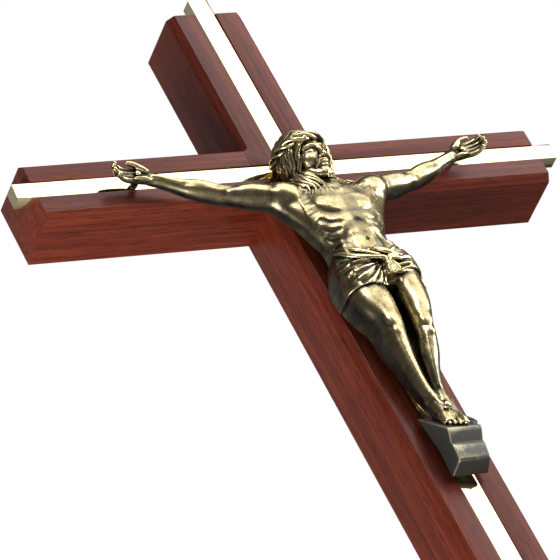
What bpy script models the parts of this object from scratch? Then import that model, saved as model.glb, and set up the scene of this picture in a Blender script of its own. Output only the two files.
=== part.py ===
"""Wooden wall cross with metal inlay bars and a cast corpus.

Frame: metres, +Z toward the head of the cross, +X to the viewer's right, the front faces -Y.
The origin is the centre of the flat back at the crossing, and the back face lies in the plane y = 0.
"""
import math

import bmesh
import bpy
from mathutils import Matrix, Vector

# Wood
CROSS_HEIGHT = 0.305
TOP_ABOVE_CROSSING = 0.0692
CROSS_SPAN = 0.1796
UPRIGHT_WIDTH = 0.027
CROSS_WIDTH = 0.0228
WOOD_THICKNESS = 0.0206
EDGE_CHAMFER = 0.0022

# Inlay bars, their grooves and how far their ends stand out of the wood
UPRIGHT_GROOVE_WIDTH = 0.0071
CROSS_GROOVE_WIDTH = 0.0062
BAR_DEPTH = 0.0046
BAR_RECESS = 0.0002
BAR_OVERHANG = 0.0065

# Play between neighbouring pieces
FIT_GAP = 0.0003

# Casting: its height, and the pins that seat it in the bars
CORPUS_HEIGHT = 0.125
HAND_PIN_DIAMETER = 0.0024
FOOT_PIN_DIAMETER = 0.0030
PIN_SEAT_SHARE = 0.6

# The figure is drawn in shares of its own height: one unit is a 125th of it.
UNIT = CORPUS_HEIGHT / 125

FRONT_Y = -WOOD_THICKNESS
BOTTOM_Z = TOP_ABOVE_CROSSING - CROSS_HEIGHT
BAR_FRONT_Y = FRONT_Y + BAR_RECESS
BAR_BACK_Y = BAR_FRONT_Y + BAR_DEPTH
CUT = 0.004


def clear_scene():
    for old in list(bpy.data.objects):
        bpy.data.objects.remove(old, do_unlink=True)


def collection(name):
    made = bpy.data.collections.new(name)
    bpy.context.scene.collection.children.link(made)
    return made


def material(name, colour, metallic, roughness):
    made = bpy.data.materials.new(name)
    made.use_nodes = True
    shader = made.node_tree.nodes["Principled BSDF"]
    shader.inputs["Base Color"].default_value = (*colour, 1.0)
    shader.inputs["Metallic"].default_value = metallic
    shader.inputs["Roughness"].default_value = roughness
    made.diffuse_color = (*colour, 1.0)
    return made


def add_object(name, bm, group, mat=None, smooth=False):
    bmesh.ops.recalc_face_normals(bm, faces=bm.faces)
    mesh = bpy.data.meshes.new(name)
    bm.to_mesh(mesh)
    bm.free()
    for polygon in mesh.polygons:
        polygon.use_smooth = smooth
    made = bpy.data.objects.new(name, mesh)
    group.objects.link(made)
    if mat is None:
        made.hide_render = True
        made.display_type = "WIRE"
    else:
        mesh.materials.append(mat)
    return made


def skin(bm, rings):
    """Closed skin over rings of equal length, flat at both ends."""
    rows = [[bm.verts.new(point) for point in ring] for ring in rings]
    count = len(rows[0])
    for low, high in zip(rows, rows[1:]):
        for i in range(count):
            j = (i + 1) % count
            bm.faces.new((low[i], low[j], high[j], high[i]))
    bm.faces.new(rows[0])
    bm.faces.new(list(reversed(rows[-1])))


def box(bm, low, high):
    corners = [(low[0], low[1]), (high[0], low[1]), (high[0], high[1]), (low[0], high[1])]
    skin(bm, [[Vector((x, y, z)) for x, y in corners] for z in (low[2], high[2])])


def cylinder(bm, x, z, radius, y_from, y_to, sides=24):
    ring = [(math.cos(math.tau * i / sides), math.sin(math.tau * i / sides)) for i in range(sides)]
    skin(bm, [[Vector((x + radius * c, y, z + radius * s)) for c, s in ring] for y in (y_from, y_to)])


def cut_with(target, cutter):
    step = target.modifiers.new("cut_" + cutter.name, "BOOLEAN")
    step.operation = "DIFFERENCE"
    step.solver = "EXACT"
    step.object = cutter


def join_with(target, other):
    step = target.modifiers.new("join_" + other.name, "BOOLEAN")
    step.operation = "UNION"
    step.solver = "EXACT"
    step.object = other


# Wood: two beams halved into each other at the crossing

def edge_cutter(name, side_x, side_z, group):
    """Takes the front edges off the quarter of the outline on one side of both beams, mitred inside."""
    far_x = CROSS_SPAN
    far_z = CROSS_HEIGHT
    rings = []
    for depth in (-CUT, EDGE_CHAMFER):
        reach = EDGE_CHAMFER - depth
        near_x = UPRIGHT_WIDTH / 2 - reach
        near_z = CROSS_WIDTH / 2 - reach
        corners = [(near_x, near_z), (far_x, near_z), (far_x, far_z), (near_x, far_z)]
        rings.append([Vector((side_x * x, FRONT_Y + depth, side_z * z)) for x, z in corners])
    bm = bmesh.new()
    skin(bm, rings)
    return add_object(name, bm, group)


def box_cutter(name, low, high, group):
    bm = bmesh.new()
    box(bm, low, high)
    return add_object(name, bm, group)


def make_wood(group, cutters, mat):
    half_u = UPRIGHT_WIDTH / 2
    half_c = CROSS_WIDTH / 2
    lap_y = FRONT_Y / 2
    bm = bmesh.new()
    box(bm, (-half_u, FRONT_Y, BOTTOM_Z), (half_u, 0.0, TOP_ABOVE_CROSSING))
    upright = add_object("upright_beam", bm, group, mat)
    bm = bmesh.new()
    box(bm, (-CROSS_SPAN / 2, FRONT_Y, -half_c), (CROSS_SPAN / 2, 0.0, half_c))
    cross = add_object("cross_beam", bm, group, mat)

    edges = [
        edge_cutter("edges_" + tag, side_x, side_z, cutters)
        for tag, side_x, side_z in (("tl", -1, 1), ("tr", 1, 1), ("bl", -1, -1), ("br", 1, -1))
    ]
    upright_lap = box_cutter(
        "upright_lap",
        (-half_u - CUT, lap_y, -half_c - FIT_GAP),
        (half_u + CUT, CUT, half_c + FIT_GAP),
        cutters,
    )
    cross_lap = box_cutter(
        "cross_lap",
        (-half_u - FIT_GAP, FRONT_Y - CUT, -half_c - CUT),
        (half_u + FIT_GAP, lap_y + FIT_GAP, half_c + CUT),
        cutters,
    )
    groove_back = BAR_BACK_Y + FIT_GAP
    upright_groove = box_cutter(
        "upright_groove",
        (-UPRIGHT_GROOVE_WIDTH / 2, FRONT_Y - CUT, BOTTOM_Z - CUT),
        (UPRIGHT_GROOVE_WIDTH / 2, groove_back, TOP_ABOVE_CROSSING + CUT),
        cutters,
    )
    cross_groove = box_cutter(
        "cross_groove",
        (-CROSS_SPAN / 2 - CUT, FRONT_Y - CUT, -CROSS_GROOVE_WIDTH / 2),
        (CROSS_SPAN / 2 + CUT, groove_back, CROSS_GROOVE_WIDTH / 2),
        cutters,
    )

    for edge in edges:
        cut_with(upright, edge)
        cut_with(cross, edge)
    cut_with(upright, upright_lap)
    cut_with(upright, upright_groove)
    cut_with(upright, cross_groove)
    cut_with(cross, cross_lap)
    cut_with(cross, cross_groove)


# Inlay bars, halved at the crossing like the wood

def make_bars(group, cutters, mat):
    half_u = UPRIGHT_GROOVE_WIDTH / 2 - FIT_GAP
    half_c = CROSS_GROOVE_WIDTH / 2 - FIT_GAP
    mid_y = BAR_FRONT_Y + BAR_DEPTH / 2
    bm = bmesh.new()
    box(bm, (-half_u, BAR_FRONT_Y, BOTTOM_Z - BAR_OVERHANG), (half_u, BAR_BACK_Y, TOP_ABOVE_CROSSING + BAR_OVERHANG))
    upright = add_object("upright_inlay", bm, group, mat)
    bm = bmesh.new()
    reach = CROSS_SPAN / 2 + BAR_OVERHANG
    box(bm, (-reach, BAR_FRONT_Y, -half_c), (reach, BAR_BACK_Y, half_c))
    cross = add_object("cross_inlay", bm, group, mat)
    cut_with(upright, box_cutter(
        "upright_bar_lap",
        (-half_u - CUT, mid_y, -half_c - FIT_GAP),
        (half_u + CUT, BAR_BACK_Y + CUT, half_c + FIT_GAP),
        cutters,
    ))
    cut_with(cross, box_cutter(
        "cross_bar_lap",
        (-half_u - FIT_GAP, BAR_FRONT_Y - CUT, -half_c - CUT),
        (half_u + FIT_GAP, mid_y + FIT_GAP, half_c + CUT),
        cutters,
    ))
    for side in (-1, 1):
        bm = bmesh.new()
        cylinder(bm, side * HAND_PIN_X * UNIT, HAND_PIN_Z * UNIT, HAND_PIN_DIAMETER / 2 + FIT_GAP,
                 BAR_FRONT_Y - CUT, BAR_FRONT_Y + PIN_SEAT_SHARE * BAR_DEPTH + FIT_GAP)
        cut_with(cross, add_object("hand_seat_" + ("l" if side < 0 else "r"), bm, cutters))
    bm = bmesh.new()
    cylinder(bm, 0.0, FOOT_PIN_Z * UNIT, FOOT_PIN_DIAMETER / 2 + FIT_GAP,
             BAR_FRONT_Y - CUT, BAR_FRONT_Y + PIN_SEAT_SHARE * BAR_DEPTH + FIT_GAP)
    cut_with(upright, add_object("foot_seat", bm, cutters))


# Casting. Positions are x to the right, d out from the wood's front, z up from the crossing, in units.

NAIL_X = 58.0
NAIL_Z = -2.4
HAND_PIN_X = 56.5
HAND_PIN_Z = -1.2
FOOT_PIN_Z = -116.0


def place(x, d, z):
    return Vector((x * UNIT, FRONT_Y - d * UNIT, z * UNIT))


def ring_about(centre, tangent, across, r_across, r_deep, sides):
    tangent = tangent.normalized()
    first = (across - tangent * across.dot(tangent)).normalized()
    second = tangent.cross(first)
    return [
        centre + first * (r_across * math.cos(math.tau * i / sides)) + second * (r_deep * math.sin(math.tau * i / sides))
        for i in range(sides)
    ]


def limb(bm, stations, across=(1, 0, 0), frame=None, sides=20):
    """Rounded limb through stations (x, d, z, radius across, radius deep), domed at both ends."""
    points = [Vector(row[:3]) for row in stations]
    across = Vector(across)
    rings = []

    def add(centre, tangent, r_across, r_deep):
        ring = ring_about(centre, tangent, across, r_across, r_deep, sides)
        if frame is not None:
            ring = [frame @ p for p in ring]
        rings.append([place(*p) for p in ring])

    last = len(points) - 1
    for i, row in enumerate(stations):
        before = points[max(i - 1, 0)]
        after = points[min(i + 1, last)]
        tangent = (after - before).normalized()
        dome = 0.7 * min(row[3], row[4])
        if i == 0:
            for angle in (80, 55, 30):
                a = math.radians(angle)
                add(points[i] - tangent * (dome * math.sin(a)), tangent, row[3] * math.cos(a), row[4] * math.cos(a))
        add(points[i], tangent, row[3], row[4])
        if i == last:
            for angle in (30, 55, 80):
                a = math.radians(angle)
                add(points[i] + tangent * (dome * math.sin(a)), tangent, row[3] * math.cos(a), row[4] * math.cos(a))
    skin(bm, rings)


def blob(bm, centre, radii, frame=None, tilt=0.0):
    """Ellipsoid with radii across, out and up, turned by tilt degrees in the plane of the wood."""
    turn = Matrix.Rotation(math.radians(tilt), 3, "Y")
    rings = []
    for i in range(1, 12):
        lat = math.pi * i / 12 - math.pi / 2
        ring = []
        for j in range(20):
            lon = math.tau * j / 20
            flat = math.cos(lat)
            p = Vector((radii[0] * flat * math.cos(lon), radii[1] * flat * math.sin(lon), radii[2] * math.sin(lat)))
            p = Vector(centre) + turn @ p
            ring.append(frame @ p if frame is not None else p)
        rings.append([place(*p) for p in ring])
    skin(bm, rings)


def head_frame():
    """Head space: x to the viewer's right, d out of the face, z to the crown, seen before it is turned."""
    turn = Matrix.Rotation(math.radians(HEAD_TURN), 4, "Z")
    nod = Matrix.Rotation(math.radians(HEAD_NOD), 4, "X")
    lean = Matrix.Rotation(math.radians(HEAD_LEAN), 4, "Y")
    return Matrix.Translation(Vector(HEAD_CENTRE)) @ lean @ turn @ nod


HEAD_CENTRE = (-1.5, 9.4, -5.0)
HEAD_TURN = -20.0
HEAD_NOD = -12.0
HEAD_LEAN = -8.0

TORSO = [
    (0.0, 7.6, -14.5, 4.2, 3.6),
    (0.0, 8.0, -17.4, 9.0, 4.2),
    (0.0, 8.4, -20.2, 12.6, 5.0),
    (0.1, 8.8, -25.0, 12.9, 6.0),
    (0.3, 9.0, -31.0, 11.9, 6.3),
    (0.8, 8.9, -37.0, 10.2, 6.0),
    (1.3, 8.4, -42.5, 9.1, 5.2),
    (1.9, 8.4, -47.5, 10.0, 5.4),
    (1.7, 8.2, -53.5, 12.0, 6.2),
    (1.5, 8.0, -59.0, 12.0, 6.0),
]
LEFT_LEG = [
    (-5.6, 7.4, -56.0, 6.9, 6.4),
    (-5.8, 8.2, -62.0, 6.4, 6.0),
    (-5.0, 9.0, -68.0, 5.2, 5.0),
    (-4.4, 9.2, -73.5, 4.3, 4.3),
    (-4.3, 8.2, -80.0, 3.9, 4.1),
    (-4.2, 7.0, -88.0, 3.1, 3.5),
    (-2.8, 6.0, -96.0, 2.4, 2.7),
    (-1.4, 5.6, -101.0, 2.4, 2.5),
]
RIGHT_LEG = [
    (8.4, 7.8, -56.0, 6.4, 6.2),
    (8.2, 8.8, -63.0, 5.2, 5.2),
    (7.4, 9.2, -69.0, 4.3, 4.5),
    (6.4, 9.0, -74.5, 3.6, 3.9),
    (5.6, 7.8, -80.5, 3.3, 3.8),
    (3.9, 6.2, -88.0, 2.8, 3.2),
    (2.9, 4.8, -95.5, 2.2, 2.5),
    (2.8, 4.2, -101.0, 2.3, 2.4),
]
LEFT_FOOT = [
    (-1.2, 5.3, -100.5, 2.4, 2.5),
    (-0.3, 6.3, -105.0, 2.7, 2.2),
    (0.7, 8.6, -110.0, 3.0, 1.7),
    (1.1, 10.4, -113.4, 2.8, 1.1),
]
RIGHT_FOOT = [
    (3.2, 4.0, -101.0, 2.4, 2.4),
    (3.4, 4.8, -106.0, 2.6, 1.9),
    (3.2, 7.4, -111.0, 2.8, 1.4),
    (3.0, 9.0, -113.8, 2.6, 1.0),
]
ARM = [
    (13.5, 8.4, -19.4, 4.6, 4.4),
    (17.5, 8.2, -17.9, 4.3, 4.1),
    (23.0, 7.4, -16.4, 3.5, 3.5),
    (29.0, 6.6, -14.8, 3.3, 3.3),
    (34.5, 6.0, -12.9, 3.0, 3.0),
    (39.0, 5.7, -11.0, 3.1, 3.0),
    (44.5, 5.3, -8.4, 2.6, 2.5),
    (50.0, 5.1, -5.6, 2.0, 1.8),
    (54.0, 5.2, -3.9, 2.2, 1.5),
    (58.0, 5.2, -2.4, 2.6, 1.3),
    (61.0, 5.6, -1.3, 2.4, 1.2),
]
FINGERS = [
    (60.0, 5.4, -3.4, 65.4, 7.8, -2.6),
    (60.4, 5.4, -2.2, 66.4, 8.0, -1.2),
    (60.6, 5.4, -1.0, 66.2, 8.0, 0.4),
    (60.0, 5.4, 0.1, 65.0, 7.8, 1.8),
    (56.6, 6.0, -0.2, 61.4, 7.4, 2.6),
]
FOOT_BLOCK = [
    (2.0, -104.0, 7.2),
    (10.2, -114.8, 6.0),
    (10.9, -115.8, 5.9),
    (10.6, -117.0, 5.8),
    (8.7, -119.8, 5.6),
    (9.0, -121.2, 5.6),
    (8.2, -125.2, 5.4),
    (7.6, -126.0, 5.4),
    (2.6, -127.4, 6.3),
    (2.0, -126.8, 6.4),
]


def make_body():
    bm = bmesh.new()
    limb(bm, TORSO, sides=28)
    limb(bm, [(-0.3, 8.0, -11.0, 3.6, 3.4), (0.0, 8.2, -19.0, 4.4, 3.8)])
    for side in (-1, 1):
        limb(bm, [(side * x, d, z, up, deep) for x, d, z, up, deep in ARM], across=(0, 0, 1))
        for x0, d0, z0, x1, d1, z1 in FINGERS:
            limb(bm, [(side * x0, d0, z0, 0.9, 0.9), (side * x1, d1, z1, 0.75, 0.75)], across=(0, 0, 1), sides=10)
        limb(bm, [(side * NAIL_X, 5.8, NAIL_Z, 0.9, 0.9), (side * NAIL_X, 7.0, NAIL_Z, 1.0, 1.0)], sides=12)
        blob(bm, (side * 5.6 + 0.1, 12.0, -27.2), (5.6, 3.4, 4.4), tilt=side * 12)
        blob(bm, (side * 12.0, 8.0, -23.5), (3.2, 4.0, 5.0))
        blob(bm, (side * 3.1 + 1.0, 11.8, -41.5), (2.8, 2.4, 5.5))
    limb(bm, LEFT_LEG)
    limb(bm, RIGHT_LEG)
    limb(bm, RIGHT_FOOT)
    limb(bm, LEFT_FOOT)
    for i in range(5):
        x = -1.0 + 1.15 * i
        limb(bm, [(x, 9.6, -112.4 - 0.1 * i, 0.75, 0.75), (x + 0.2, 11.3, -115.0 + 0.3 * i, 0.7, 0.7)], sides=10)
    limb(bm, [(0.9, 7.5, -105.4, 1.0, 1.0), (0.9, 9.6, -104.4, 1.1, 1.1)], sides=12)
    add_cloth(bm)
    add_head(bm)
    return bm


def add_cloth(bm):
    limb(bm, [
        (1.8, 8.2, -48.8, 10.8, 6.0),
        (1.4, 8.0, -53.0, 13.2, 7.0),
        (1.3, 8.0, -57.5, 13.7, 7.2),
        (1.2, 8.2, -60.5, 13.2, 6.8),
    ], sides=28)
    limb(bm, [(-9.0, 9.0, -48.4, 1.3, 1.6), (-3.2, 14.0, -49.6, 1.1, 1.2), (4.4, 15.6, -52.4, 1.2, 1.2)])
    limb(bm, [(12.4, 9.0, -48.4, 1.3, 1.6), (9.4, 13.4, -50.0, 1.1, 1.2), (4.4, 15.6, -52.4, 1.2, 1.2)])
    blob(bm, (4.6, 15.8, -52.8), (2.0, 1.6, 1.7))
    for x, d, z in ((-7.0, 13.0, -57.5), (-4.6, 14.6, -60.0), (-1.0, 15.4, -62.0), (3.0, 15.2, -63.4), (9.0, 14.0, -59.0)):
        limb(bm, [(4.4, 15.4, -53.4, 0.7, 0.8), ((x + 4.4) / 2, (d + 15.8) / 2, (z - 53.4) / 2 + 0.8, 0.8, 0.9),
                  (x, d, z, 1.0, 1.0)], sides=12)
    limb(bm, [(12.4, 9.0, -51.0, 1.6, 2.6), (13.6, 8.6, -57.0, 1.6, 3.0), (12.6, 8.0, -63.0, 1.1, 2.2)])
    limb(bm, [(-5.8, 8.2, -59.0, 7.4, 6.9), (-5.8, 8.5, -61.6, 7.1, 6.6)], sides=24)


def add_head(bm):
    frame = head_frame()
    blob(bm, (0.0, 0.0, 1.4), (6.5, 7.6, 7.4), frame)
    blob(bm, (0.0, 2.6, -3.0), (5.0, 5.0, 6.4), frame)
    blob(bm, (0.0, -1.4, 1.6), (7.5, 6.8, 7.8), frame)
    limb(bm, [(0.0, 6.9, 1.2, 0.7, 0.8), (0.0, 8.5, -2.2, 1.0, 0.9)], frame=frame, sides=12)
    limb(bm, [(-3.6, 6.0, 1.9, 0.7, 0.7), (0.0, 7.4, 1.7, 0.7, 0.7), (3.6, 6.0, 1.9, 0.7, 0.7)], across=(0, 0, 1),
         frame=frame, sides=12)
    blob(bm, (0.0, 5.6, -7.6), (3.2, 2.6, 3.4), frame)
    for side in (-1, 1):
        limb(bm, [(side * 6.4, 1.0, 1.5, 1.9, 2.6), (side * 7.2, 0.4, -4.5, 2.2, 3.0), (side * 6.6, 0.2, -10.0, 2.2, 2.4),
                  (side * 5.4, 0.6, -14.0, 1.5, 1.5)], frame=frame)
    band = []
    for i in range(25):
        a = math.tau * i / 24
        band.append((7.7 * math.sin(a), -0.6 + 7.4 * math.cos(a), 4.2 + 0.4 * math.cos(5 * a), 0.9, 0.9))
    limb(bm, band, across=(0, 0, 1), frame=frame, sides=10)


def make_corpus(group, cutters, mat):
    corpus = add_object("corpus", make_body(), group, mat, smooth=True)
    step = corpus.modifiers.new("one_skin", "REMESH")
    step.mode = "VOXEL"
    step.voxel_size = 0.55 * UNIT
    step.use_smooth_shade = True
    step = corpus.modifiers.new("soften", "SMOOTH")
    step.factor = 0.5
    step.iterations = 3
    step = corpus.modifiers.new("thin_out", "DECIMATE")
    step.ratio = 0.09

    bm = bmesh.new()
    skin(bm, [[place(side * half, d, z) for d, z, half in FOOT_BLOCK] for side in (-1, 1)])
    join_with(corpus, add_object("foot_block", bm, cutters))
    seat_y = BAR_FRONT_Y + PIN_SEAT_SHARE * BAR_DEPTH
    for side in (-1, 1):
        bm = bmesh.new()
        cylinder(bm, side * HAND_PIN_X * UNIT, HAND_PIN_Z * UNIT, HAND_PIN_DIAMETER / 2, FRONT_Y - 5.2 * UNIT, seat_y)
        join_with(corpus, add_object("hand_pin_" + ("l" if side < 0 else "r"), bm, cutters))
    bm = bmesh.new()
    cylinder(bm, 0.0, FOOT_PIN_Z * UNIT, FOOT_PIN_DIAMETER / 2, FRONT_Y - 4.0 * UNIT, seat_y)
    join_with(corpus, add_object("foot_pin", bm, cutters))


def main():
    clear_scene()
    group = collection("wooden_cross")
    cutters = collection("cutters")
    wood = material("stained_wood", (0.28, 0.07, 0.04), 0.0, 0.35)
    brass = material("polished_brass", (0.86, 0.68, 0.34), 1.0, 0.12)
    cast = material("antique_brass", (0.46, 0.38, 0.20), 1.0, 0.38)
    make_wood(group, cutters, wood)
    make_bars(group, cutters, brass)
    make_corpus(group, cutters, cast)


main()
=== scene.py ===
"""Looks of the wooden cross: stained wood with softened edges, mirror brass bars and an antiqued casting.

Everything is in metres, in the frame of the CAD model: +Z up, the front faces -Y, the back lies at y = 0.
The casting is drawn in millimetres as x to the right, d out from the wood's front, z up from the crossing.
"""
import math

import bmesh
import bpy
import numpy as np
from mathutils import Matrix, Vector
from mathutils.kdtree import KDTree


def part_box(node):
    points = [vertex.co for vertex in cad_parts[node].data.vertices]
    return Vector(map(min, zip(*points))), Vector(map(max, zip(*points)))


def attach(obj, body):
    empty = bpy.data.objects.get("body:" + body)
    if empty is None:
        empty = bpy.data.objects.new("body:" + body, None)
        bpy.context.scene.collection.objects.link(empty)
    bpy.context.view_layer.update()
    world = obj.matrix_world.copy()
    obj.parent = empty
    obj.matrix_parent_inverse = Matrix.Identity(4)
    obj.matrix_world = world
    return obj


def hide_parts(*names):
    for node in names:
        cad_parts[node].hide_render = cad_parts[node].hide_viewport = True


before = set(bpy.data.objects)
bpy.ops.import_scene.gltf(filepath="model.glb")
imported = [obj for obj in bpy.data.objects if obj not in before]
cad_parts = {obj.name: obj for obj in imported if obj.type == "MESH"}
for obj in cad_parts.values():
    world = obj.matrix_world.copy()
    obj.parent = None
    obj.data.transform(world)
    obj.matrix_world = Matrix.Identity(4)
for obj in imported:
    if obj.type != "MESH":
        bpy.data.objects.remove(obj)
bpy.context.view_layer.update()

# Sizes of the wood and the bars, as in the CAD model
UPRIGHT_WIDTH = 0.027
CROSS_WIDTH = 0.0228
WOOD_THICKNESS = 0.0206
EDGE_CHAMFER = 0.0022
UPRIGHT_GROOVE_WIDTH = 0.0071
CROSS_GROOVE_WIDTH = 0.0062
GROOVE_DEPTH = 0.0051
BAR_RECESS = 0.0002
BAR_DEPTH = 0.0046
TOP_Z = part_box("upright_beam")[1][2]
BOTTOM_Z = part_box("upright_beam")[0][2]
HALF_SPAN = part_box("cross_beam")[1][0]
BAR_TOP_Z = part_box("upright_inlay")[1][2]
BAR_BOTTOM_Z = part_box("upright_inlay")[0][2]
BAR_HALF_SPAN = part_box("cross_inlay")[1][0]
FRONT_Y = -WOOD_THICKNESS

# How wood and bars are worked: softened arrises, the edge cutter's round path in the inner corners, play,
# and how far a cutter reaches past what it cuts
ARRIS = 0.00035
INNER_CORNER_RADIUS = 0.0026
BAR_ARRIS = 0.00018
INNER_CORNER_STEPS = 8
EDGE_CUTTER_TIP_RADIUS = 0.0003
EDGE_CUTTER_REACH = (0.3, 0.5)
SEAM = 0.00002
BAR_PLAY = 0.0001
CUT = 0.004
SOFTENED_ABOVE = math.radians(28)
SHARP_ABOVE = math.radians(40)

# Camera of the photograph
CAMERA_PLACE = (-0.7423, -0.9405, -0.8389)
CAMERA_FORWARD = (0.5081, 0.6517, 0.5632)
CAMERA_DOWN = (-0.0769, 0.6856, -0.7239)
FOCAL_PIXELS = 4724.0
IMAGE_PIXELS = 560
SENSOR_WIDTH = 36.0


# Nodes and materials

def fill(tree, made, inputs):
    """Sets each input of a node, or links it where the value is another node's output."""
    for key, value in inputs.items():
        if isinstance(value, bpy.types.NodeSocket):
            tree.links.new(value, made.inputs[key])
        else:
            made.inputs[key].default_value = value


def node(tree, kind, inputs=None, **settings):
    made = tree.nodes.new(kind)
    for key, value in settings.items():
        setattr(made, key, value)
    fill(tree, made, inputs or {})
    return made


def new_material(name):
    """A material with its nodes, its shader and the place on the object."""
    mat = bpy.data.materials.new(name)
    mat.use_nodes = True
    tree = mat.node_tree
    return mat, tree, tree.nodes["Principled BSDF"], node(tree, "ShaderNodeTexCoord").outputs["Object"]


def ramp(tree, fac, stops):
    made = node(tree, "ShaderNodeValToRGB", {"Fac": fac})
    elements = made.color_ramp.elements
    while len(elements) < len(stops):
        elements.new(0.5)
    for element, (place, colour) in zip(elements, stops):
        element.position = place
        element.color = (*colour, 1.0)
    return made.outputs["Color"]


def mix(tree, fac, a, b, blend="MIX"):
    return node(tree, "ShaderNodeMix", {0: fac, 6: a, 7: b}, data_type="RGBA", blend_type=blend).outputs[2]


def noise(tree, place, scale, detail, **more):
    inputs = {"Vector": place, "Scale": scale, "Detail": detail, **more}
    return node(tree, "ShaderNodeTexNoise", inputs).outputs["Fac"]


def maths(tree, operation, a, b, **settings):
    return node(tree, "ShaderNodeMath", {0: a, 1: b}, operation=operation, **settings).outputs[0]


def mapped(tree, value, to_min, to_max, from_min=0.0, from_max=1.0):
    inputs = {"Value": value, "From Min": from_min, "From Max": from_max, "To Min": to_min,
              "To Max": to_max}
    return node(tree, "ShaderNodeMapRange", inputs).outputs["Result"]


def bump(tree, height, strength, distance):
    inputs = {"Height": height, "Strength": strength, "Distance": distance}
    return node(tree, "ShaderNodeBump", inputs).outputs["Normal"]


def wood_material(name, along, seed):
    """Red-brown stained wood with its grain along one axis, under satin lacquer."""
    mat, tree, shader, place = new_material(name)

    def stretched(across, length, shift):
        scale = [across] * 3
        scale[along] = length
        inputs = {"Vector": place, "Scale": scale, "Location": (shift, seed, shift)}
        return node(tree, "ShaderNodeMapping", inputs).outputs[0]

    streaks = noise(tree, stretched(800, 22, 1.3), 1.0, 6.0, Roughness=0.62)
    figure = noise(tree, stretched(120, 8, 4.1), 1.0, 4.0, Distortion=0.5)
    pores = noise(tree, stretched(2400, 190, 7.7), 1.0, 2.0, Roughness=0.5)
    cloud = noise(tree, stretched(28, 7, 2.2), 1.0, 2.0)
    colour = ramp(tree, streaks, [(0.30, (0.125, 0.018, 0.009)), (0.52, (0.210, 0.035, 0.016)),
                                  (0.74, (0.31, 0.060, 0.026))])
    broad = ramp(tree, figure, [(0.34, (0.62, 0.55, 0.52)), (0.62, (1.0, 1.0, 1.0))])
    tone = ramp(tree, cloud, [(0.35, (0.86, 0.82, 0.80)), (0.65, (1.12, 1.06, 1.0))])
    pit = ramp(tree, pores, [(0.55, (1.0, 1.0, 1.0)), (0.66, (0.36, 0.30, 0.28))])
    for strength, layer in ((0.45, broad), (0.8, tone), (0.7, pit)):
        colour = mix(tree, strength, colour, layer, "MULTIPLY")
    fill(tree, shader, {
        "Base Color": colour,
        "Roughness": mapped(tree, streaks, 0.30, 0.44),
        "Specular IOR Level": 0.2,
        "Coat Weight": 0.10,
        "Coat Roughness": 0.2,
        "Normal": bump(tree, maths(tree, "ADD", streaks, pores), 0.16, 0.0002),
    })
    return mat


def brass_material():
    """Mirror-polished brass with faint drawing marks."""
    mat, tree, shader, place = new_material("polished_brass")
    marks = noise(tree, place, 320.0, 4.0, Roughness=0.6)
    fill(tree, shader, {
        "Base Color": ramp(tree, marks, [(0.3, (0.86, 0.70, 0.40)), (0.7, (0.95, 0.82, 0.54))]),
        "Metallic": 1.0,
        "Roughness": mapped(tree, marks, 0.04, 0.10),
        "Normal": bump(tree, marks, 0.02, 0.0001),
    })
    return mat


def cast_material():
    """Antiqued casting: dark in recesses, rubbed to bright brass on high parts, sandy on the block, with
    painted light: front faces lighter, sides darker, painted highlights on the hair.
    """
    mat, tree, shader, place = new_material("antique_brass")
    # Rubbed patina with painted light: front faces lighter, sides darker, painted highlights on the hair
    raised_and_lit = node(tree, "ShaderNodeAttribute", attribute_name="raised_and_lit").outputs["Fac"]
    sandy = node(tree, "ShaderNodeAttribute", attribute_name="rough").outputs["Fac"]
    speckle = noise(tree, place, 2600.0, 3.0, Roughness=0.7)
    cloud = noise(tree, place, 210.0, 5.0, Roughness=0.65)
    spread = maths(tree, "ADD", maths(tree, "MULTIPLY", speckle, 0.50),
                   maths(tree, "MULTIPLY", cloud, 0.55))
    centred = maths(tree, "SUBTRACT", spread, 0.55)
    rubbed_and_lit = maths(tree, "ADD", raised_and_lit, centred, use_clamp=True)
    metal = ramp(tree, rubbed_and_lit, [(0.16, (0.016, 0.014, 0.011)), (0.42, (0.115, 0.102, 0.078)),
                                (0.64, (0.31, 0.25, 0.13)), (0.88, (0.80, 0.65, 0.35))])
    sand = ramp(tree, rubbed_and_lit, [(0.05, (0.10, 0.099, 0.093)), (0.54, (0.125, 0.122, 0.11)),
                               (0.90, (0.60, 0.52, 0.34))])
    sheen = mapped(tree, rubbed_and_lit, 0.38, 0.22, 0.2, 0.9)
    fill(tree, shader, {
        "Base Color": mix(tree, sandy, metal, sand),
        "Metallic": 1.0,
        "Roughness": maths(tree, "ADD", sheen, maths(tree, "MULTIPLY", sandy, 0.22)),
        "Normal": bump(tree, speckle, mapped(tree, sandy, 0.12, 0.45), 0.00012),
    })
    return mat


def floor_material():
    mat, tree, shader, place = new_material("pale_floor")
    colour = ramp(tree, noise(tree, place, 6.0, 3.0),
                  [(0.3, (0.82, 0.82, 0.81)), (0.7, (0.86, 0.86, 0.85))])
    fill(tree, shader, {"Base Color": colour, "Roughness": 0.8})
    return mat


# Meshes

def skin(bm, rings):
    """Closed skin over rings of points, one above the other."""
    rows = [[bm.verts.new(point) for point in ring] for ring in rings]
    count = len(rows[0])
    for low, high in zip(rows, rows[1:]):
        for i in range(count):
            j = (i + 1) % count
            bm.faces.new((low[i], low[j], high[j], high[i]))
    bm.faces.new(rows[0])
    bm.faces.new(list(reversed(rows[-1])))


def object_from(name, bm):
    bmesh.ops.recalc_face_normals(bm, faces=bm.faces)
    mesh = bpy.data.meshes.new(name)
    bm.to_mesh(mesh)
    bm.free()
    made = bpy.data.objects.new(name, mesh)
    bpy.context.scene.collection.objects.link(made)
    return made


def box_object(name, low, high):
    corners = [(low[0], low[1]), (high[0], low[1]), (high[0], high[1]), (low[0], high[1])]
    bm = bmesh.new()
    skin(bm, [[Vector((x, y, z)) for x, y in corners] for z in (low[2], high[2])])
    return object_from(name, bm)


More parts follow.
